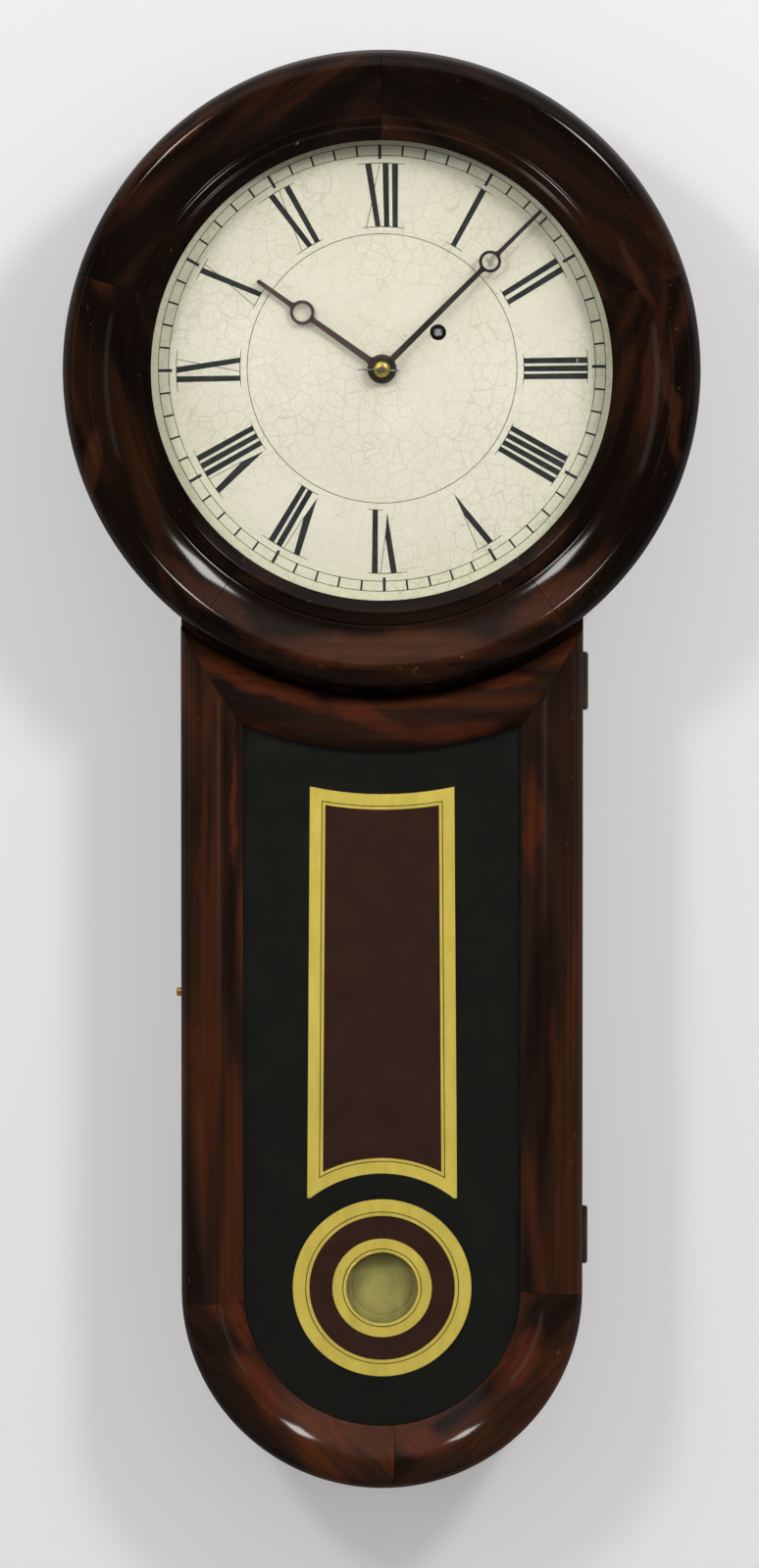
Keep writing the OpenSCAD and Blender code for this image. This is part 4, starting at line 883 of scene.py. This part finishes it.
def buildPin():
    # tapered; its height is a straight fall plus half a sine wave, set to nought where it crosses the arbor
    p = pin
    t = np.concatenate([[0, 0.008], np.linspace(0.02, 0.98, 25), [0.992, 1]])
    bow = p["bow"] * (np.sin(math.pi * t) - math.sin(math.pi * p["arborAt"]))
    path = np.stack([p["start"] + p["length"] * t, np.full_like(t, -p["depth"]),
                     p["height"] - p["fall"] * t + bow], axis=1)
    radii = p["radius"][0] + (p["radius"][1] - p["radius"][0]) * t
    radii[[0, -1]] *= 0.6
    points, faces = tube(path, radii, p["sides"])
    meshObject("handPin", points, faces, "minute_arbor", steelGrey, ["hand_pin"], sharpAngle=50)


# Pendulum bob and the weight's line

bob = {
    "height": -510.0,         # of its centre
    "middle": 60.0,           # depth of its middle plane in front of the wall
    "radius": 32.0,
    "flat": 16.8,             # radius of the flat middle
    "half": 9.5,              # half its thickness
    "disc": 6.8,              # radius of the circle cut into the flat
    "rim": 1.2,               # half the thickness of its edge
}


def buildBob():
    # lens: flat middle with a turned circle, then a quarter of an ellipse that falls away to a narrow rim
    b = bob
    t = np.linspace(0, 1, 25)[1:]
    shoulder = np.stack([b["flat"] + 0.3 + (b["radius"] - b["flat"] - 0.3) * t,
                         b["rim"] + (b["half"] - 1.5) * np.sqrt(1 - t ** 2)], axis=1)
    face = [(0.01, b["half"]), (b["disc"] - 0.35, b["half"]), (b["disc"] - 0.15, b["half"] - 0.25),
            (b["disc"] + 0.15, b["half"] - 0.25), (b["disc"] + 0.35, b["half"]), (b["flat"] - 0.2, b["half"]),
            (b["flat"], b["half"] - 0.05), (b["flat"] + 0.15, b["half"] - 0.35)]
    half = np.concatenate([face, shoulder])
    profile = np.concatenate([half, half[::-1] * (1, -1)])
    profile[:, 1] += b["middle"]
    points, faces = turnedSolid(profile, 128, (0, b["height"]))
    meshObject("pendulumBob", points, faces, "pendulum", bobBrass, ["pendulum_bob"], sharpAngle=30)


line = {
    "radius": 0.8,
    "depth": 30.0,            # in front of the wall
    "foot": -380.0,           # where it meets the line round the pulley
    "strands": 3,
    "pitch": 2.6,             # from one strand to the next, drawn coarser than real so that it shows
    "groove": 0.12,           # depth between two strands, as a share of the radius
    "sides": 12,
    "ringEvery": 0.65,
    # piece, place across, height of its fixed end, share of its length that is left with the weight wound up
    "runs": [("lineFromBarrel", 22.4, 19.9, 0.21), ("lineFromPlate", -22.4, -27.5, 0.1035)],
}


def buildLine():
    # twisted gut: r falls from the radius by the groove times one less |cos(strands / 2 times the angle)|,
    # and the angle turns with the height; each run hangs from its fixed end down to the foot
    for name, x, top, keep in line["runs"]:
        rings = int((top - line["foot"]) / line["ringEvery"])
        z = np.linspace(top, line["foot"], rings)[:, None]
        a = np.linspace(0, 2 * math.pi, line["sides"], endpoint=False)[None, :]
        turn = z * 2 * math.pi / line["pitch"] / line["strands"]
        wave = np.abs(np.cos(line["strands"] / 2 * (a - turn)))
        r = line["radius"] * (1 - line["groove"] + line["groove"] * wave)
        grid = np.stack([x + r * np.cos(a), -line["depth"] + r * np.sin(a), z + 0 * r], axis=2)
        points = grid.reshape(-1, 3)
        faces = facesOutward(points, barFaces(rings, line["sides"]))
        replaced = ["weight_line"] if x > 0 else ()
        run = meshObject(name, points, faces, "case", gutLine, replaced, sharpAngle=60)
        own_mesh(run)


# Camera, wall, floor and light

view = {
    "plane": -0.085,          # y of the plane that the picture is measured in, the face of the dial
    "distance": 8.0,          # metres from that plane to the camera
    "side": 0.1,              # x of the camera
    "height": 0.43,           # z of the camera, above the hanger hole
    "pitch": 5.63,            # degrees that it looks down
    "imageX": -0.0014,        # point of the plane seen at the middle of the picture
    "imageZ": -0.3597,
    "pictureHeight": 0.865,   # metres of the plane from top to bottom of the picture
    "sensor": 36.0,
}


def placeCamera():
    # the lens is as long as the plane's picture needs: sensor times distance over picture height
    pitch = math.radians(view["pitch"])
    yaw = math.atan2(view["side"] - view["imageX"], view["distance"])
    data = bpy.data.cameras.new("photoCamera")
    data.sensor_width = data.sensor_height = view["sensor"]
    data.lens = view["sensor"] * view["distance"] / math.cos(pitch) / view["pictureHeight"]
    # the rest of the drop to the middle of the picture is a small lens shift
    drop = math.atan2(view["height"] - view["imageZ"], view["distance"]) - pitch
    data.shift_y = -math.tan(drop) * view["distance"] / math.cos(pitch) / view["pictureHeight"]
    camera = bpy.data.objects.new("photoCamera", data)
    camera.location = (view["side"], view["plane"] - view["distance"], view["height"])
    camera.rotation_euler = (math.radians(90) - pitch, 0, yaw)
    bpy.context.scene.collection.objects.link(camera)
    bpy.context.scene.camera = camera


def softbox(name, place, target, size, power, colour):
    # oblong lamp at a place, facing its target
    data = bpy.data.lights.new(name, "AREA")
    data.shape = "RECTANGLE"
    data.size, data.size_y = size
    data.energy = power
    data.color = hexToLinear(colour)[:3]
    lamp = bpy.data.objects.new(name, data)
    lamp.location = place
    toward = np.array(target, float) - np.array(place, float)
    lamp.rotation_euler = (math.atan2(math.hypot(toward[0], toward[1]), -toward[2]), 0,
                           math.atan2(-toward[0], toward[1]))
    bpy.context.scene.collection.objects.link(lamp)


studio = {
    "wall": "#D2D2D7",
    "wallLift": 0.25,         # extra paleness of the wall in the picture only
    "floor": "#8F8A84",
    "floorZ": -1.9,
    "wallTop": 2.5,
    "reach": 4.0,             # half the width of the wall
    "floorReach": 5.0,
    "wallGap": 0.0008,        # the wall stands this far behind the case, so that their faces don't meet
    "openingRadius": 0.150,   # of the head of the opening behind the case
    "openingHalf": 0.095,
    "light": "#FEFCF8",
    "backdrop": 0.86,         # brightness of the world to the camera
    "sky": 0.43,              # even light from all round
    "skyTilt": 0.28,          # more of it from above than from below
    "wallGlow": 0.5,          # what polished wood, metal and glass mirror of the wall beside the clock,
    "roomGlow": 0.05,         # of the room in front of it
    "ceilingGlow": 1.1,       # and of the lit ceiling
    "boxes": [    # name, place, aim, size, watts, colour
        ("ceilingRight", (1.15, -1.95, 1.0), (0, 0, -0.4), (0.4, 0.4), 25, "#FFFCF8"),
        ("ceilingLeft", (-1.1, -2.05, 0.85), (0, 0, -0.4), (0.35, 0.35), 17, "#FFFCF8"),
        ("leftWindow", (-2.2, -1.5, -0.1), (0, 0, -0.35), (0.3, 1.2), 1.6, "#FFFFFF"),
        ("rightWindow", (2.2, -1.6, -0.2), (0, 0, -0.35), (0.25, 1.2), 1.0, "#FFFFFF"),
    ],
}


def buildWorld():
    # pale for the camera; mirrored, the side of the wall is pale and the room in front of the clock dim
    world = bpy.data.worlds.new("studioWorld")
    world.use_nodes = True
    bpy.context.scene.world = world
    tree = world.node_tree
    tree.nodes.clear()
    path = addNode(tree, "LightPath")
    direction = addNode(tree, "SeparateXYZ", Vector=addNode(tree, "TexCoord").outputs["Generated"])
    even = addNode(tree, "MapRange", Value=direction.outputs["Z"], i1=-1.0, i2=1.0,
                   i3=studio["sky"] - studio["skyTilt"], i4=studio["sky"] + studio["skyTilt"]).outputs[0]
    mirrored = addNode(tree, "MapRange", Value=direction.outputs["Y"], i1=-0.35, i2=0.2,
                       i3=studio["roomGlow"], i4=studio["wallGlow"]).outputs[0]
    overhead = addNode(tree, "MapRange", {"interpolation_type": "SMOOTHSTEP"}, Value=direction.outputs["Z"],
                       i1=0.5, i2=0.75, i3=0.0, i4=studio["ceilingGlow"]).outputs[0]
    mirrored = addNode(tree, "Math", {"operation": "ADD"}, i0=mirrored, i1=overhead).outputs[0]
    reflected = addNode(tree, "Math", {"operation": "MAXIMUM"}, i0=path.outputs["Is Glossy Ray"],
                        i1=path.outputs["Is Transmission Ray"]).outputs[0]
    light = addNode(tree, "Mix", {"data_type": "FLOAT"}, i0=reflected, i2=even, i3=mirrored).outputs[0]
    strength = addNode(tree, "Mix", {"data_type": "FLOAT"}, i0=path.outputs["Is Camera Ray"],
                       i2=light, i3=studio["backdrop"]).outputs[0]
    glow = addNode(tree, "Background", Color=hexToLinear(studio["light"]), Strength=strength)
    addNode(tree, "OutputWorld", Surface=glow.outputs[0])


def wallMaterial():
    # matt painted wall; seen from behind it is clear, so that the clock's back can be looked at
    material, tree, shader = newMaterial("wallPaint", Base_Color=hexToLinear(studio["wall"]), Roughness=0.9,
                                         Emission_Color=hexToLinear("#FFFFFF"))
    seen = addNode(tree, "LightPath").outputs["Is Camera Ray"]
    lift = addNode(tree, "Math", {"operation": "MULTIPLY"}, i0=seen, i1=studio["wallLift"]).outputs[0]
    join(tree, lift, shader, "Emission Strength")
    clear = addNode(tree, "BsdfTransparent")
    behind = addNode(tree, "NewGeometry").outputs["Backfacing"]
    choice = addNode(tree, "MixShader", i0=behind, i1=shader.outputs[0], i2=clear.outputs[0])
    tree.links.new(choice.outputs[0], tree.nodes["Material Output"].inputs["Surface"])
    return material


def buildStage():
    # wall with a keyhole opening hidden behind the case, and a floor below
    radius, half, gap = studio["openingRadius"], studio["openingHalf"], studio["wallGap"]
    reach, top = studio["reach"], studio["wallTop"]
    floorReach, floorZ = studio["floorReach"], studio["floorZ"]
    centre = -clock["dialDrop"] * mm
    low = -(clock["windowDrop"] + clock["dialDrop"]) * mm
    throat = math.asin(half / radius)
    a = np.linspace(-math.pi + throat, math.pi - throat, 61)
    head = np.stack([radius * np.sin(a), centre + radius * np.cos(a)], axis=1)
    foot = arcPoints(0, low, half, 0, -180, 30)
    edge = [(-reach, floorZ), (reach, floorZ), (reach, top), (-reach, top)]
    sheet = bmesh.new()
    for loop in (np.concatenate([head, foot]), edge):
        corners = [sheet.verts.new((x, gap, z)) for x, z in loop]
        for k, corner in enumerate(corners):
            sheet.edges.new((corner, corners[(k + 1) % len(corners)]))
    bmesh.ops.triangle_fill(sheet, use_beauty=True, edges=sheet.edges[:])
    bmesh.ops.recalc_face_normals(sheet, faces=sheet.faces[:])
    mesh = bpy.data.meshes.new("wall")
    sheet.to_mesh(mesh)
    sheet.free()
    if mesh.polygons[0].normal.y > 0:
        mesh.flip_normals()
    mesh.materials.append(wallMaterial())
    wall = bpy.data.objects.new("wall", mesh)
    bpy.context.scene.collection.objects.link(wall)
    mesh = bpy.data.meshes.new("floor")
    mesh.from_pydata([(-floorReach, -floorReach, floorZ), (floorReach, -floorReach, floorZ),
                      (floorReach, reach, floorZ), (-floorReach, reach, floorZ)], [], [[0, 1, 2, 3]])
    floorPaint = newMaterial("floorPaint", Base_Color=hexToLinear(studio["floor"]), Roughness=0.85)[0]
    mesh.materials.append(floorPaint)
    floor = bpy.data.objects.new("floor", mesh)
    bpy.context.scene.collection.objects.link(floor)


bpy.context.scene.view_settings.view_transform = "Standard"
placeCamera()
buildWorld()
buildStage()
for box in studio["boxes"]:
    softbox(*box)
print("camera, wall, floor and light are in place")


# Finishes

woods = {
    # the bezel's flames low on the ring and on its upper-left outer band are painted sheen, the rest red
    # figure
    "bezel": polishedRosewood("bezelRosewood", ("#0E0806", "#160D08", "#23140B", "#3A2010"),
                              attribute="grain", flamesAndSheen=flameAndSheenPlaces["bezel"], flameAndSheenTone="#502C18"),
    "door": polishedRosewood("doorRosewood", ("#1E1410", "#322016", "#452515", "#562C18"),
                             attribute="grain", flamesAndSheen=flameAndSheenPlaces["door"], flameAndSheenTone="#582A19"),
    "caseSides": polishedRosewood("caseRosewood", ("#1A1411", "#291B15", "#382015", "#4A2717"),
                                  turn=(0, math.pi / 2, 0)),
    "pine": oilDarkenedPine("casePine"),
}
brassDull = metal("dullBrass", ("#544834", "#3B3124"), roughness=0.38, metallic=0.6)
brassBright = metal("lacqueredBrass", ("#C9A85A", "#A5863F"), roughness=0.24)
brassDome = metal("collarBrass", ("#D6BC62", "#B0923F"), roughness=0.25, metallic=0.75)
bobBrass = metal("bobBrass", ("#C9BF72", "#AAA263"), roughness=0.4, metallic=0.45)
squareSteel = metal("squareSteel", ("#B4B7BA", "#8E9194"), roughness=0.4, metallic=0.5)
steelGrey = metal("brightSteel", ("#A7A9AC", "#75777B"), roughness=0.3)
steelDark = metal("screwSteel", ("#6C6A69", "#3E3B3A"), roughness=0.36)
handSteel = heatColouredSteel("hourHandSteel", ("#33272A", "#4A3A3A", "#5A4842"))
handBlack = heatColouredSteel("minuteHandSteel", ("#1E1A18", "#2A2420", "#3A302B"))
zinc = metal("zincSheet", ("#A9ABA9", "#85878A"), roughness=0.45)
windowGlass = sheetGlass("windowGlass")
blackPaint = backPaint("tabletBlack", ("#0F0F0E", "#191917"))
goldPaint = backPaint("tabletGold", ("#B7A44A", "#C9B35A"), brushScale=(140, 140, 40))
maroonPaint = backPaint("tabletMaroon", ("#2A1713", "#35201A"))
dialCream = dialPaint("dialCream")
dialBlack = dialInk("dialBlack")
dialFaded = dialInk("dialFaded", "#4A483C", "#7F7A66")
blackIron = japannedIron("blackIron")
putty = dullSolid("oldPutty", ("#8F8064", "#B8A888"), 0.85, 90.0, 0.5)
gutLine = dullSolid("gutLine", ("#A08A58", "#CDB983"), 0.5, 300.0, 0.3)
stickWood = dullSolid("stickWood", ("#7A5A34", "#A07C4C"), 0.45, 60.0, 0.2)

finishOf = [
    (woods["pine"], ["back_board", "dial_board", "glass_strips"]),
    (woods["caseSides"], ["head_drum", "trunk_sides", "throat_rail"]),
    (woods["bezel"], ["bezel_ring"]),
    (woods["door"], ["trunk_door_frame"]),
    (brassDull, ["hanger_plate", "hinge_case_leaves", "trunk_hinge_leaves", "bezel_hinge_leaf",
                 "catch_foot", "catch_spring", "door_strike", "bezel_stud", "rating_nut"]),
    (steelDark, ["case_screws", "hinge_pins", "weight_stirrup"]),
    (windowGlass, ["trunk_door_glass", "bezel_glass"]),
    (blackPaint, ["tablet_black"]),
    (goldPaint, ["tablet_gold"]),
    (maroonPaint, ["tablet_maroon"]),
    (brassDome, ["latch_button", "hand_collet"]),
    (putty, ["bezel_putty"]),
    (dialCream, ["dial_pan"]),
    (handSteel, ["hour_hand", "minute_hand"]),
    (steelGrey, ["hand_pin", "plate_screws", "ratchet_wheel", "click", "centre_arbor", "pallets",
                 "crutch", "cannon_pinion", "suspension_spring"]),
    (brassBright, ["back_plate", "front_plate", "plate_pillars", "barrel", "click_spring", "great_wheel",
                   "centre_wheel", "third_wheel", "escape_wheel", "minute_wheel", "hour_wheel",
                   "suspension_cock", "weight_pulley"]),
    (squareSteel, ["winding_arbor"]),
    (stickWood, ["pendulum_rod"]),
    (bobBrass, ["pendulum_bob"]),
    (blackIron, ["weight"]),
    (gutLine, ["weight_line", "pulley_line"]),
    (zinc, ["weight_baffle"]),
]
nodeFinish = {name: finish for finish, names in finishOf for name in names}
for name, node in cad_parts.items():
    node.data.materials.clear()
    node.data.materials.append(nodeFinish[name])
print("finishes are on the", len(nodeFinish), "nodes of the frame")

buildBezel()
buildDoor()
print("mouldings are built")
buildDialMarks()
buildHand("hourHand", hands["hour"], "hour_pipe", handSteel, ["hour_hand"])
buildHand("minuteHand", hands["minute"], "minute_arbor", handBlack, ["minute_hand"])
buildCollet()
buildPin()
print("dial and hands are built")
buildBob()
buildLine()
print("bob and line are built")
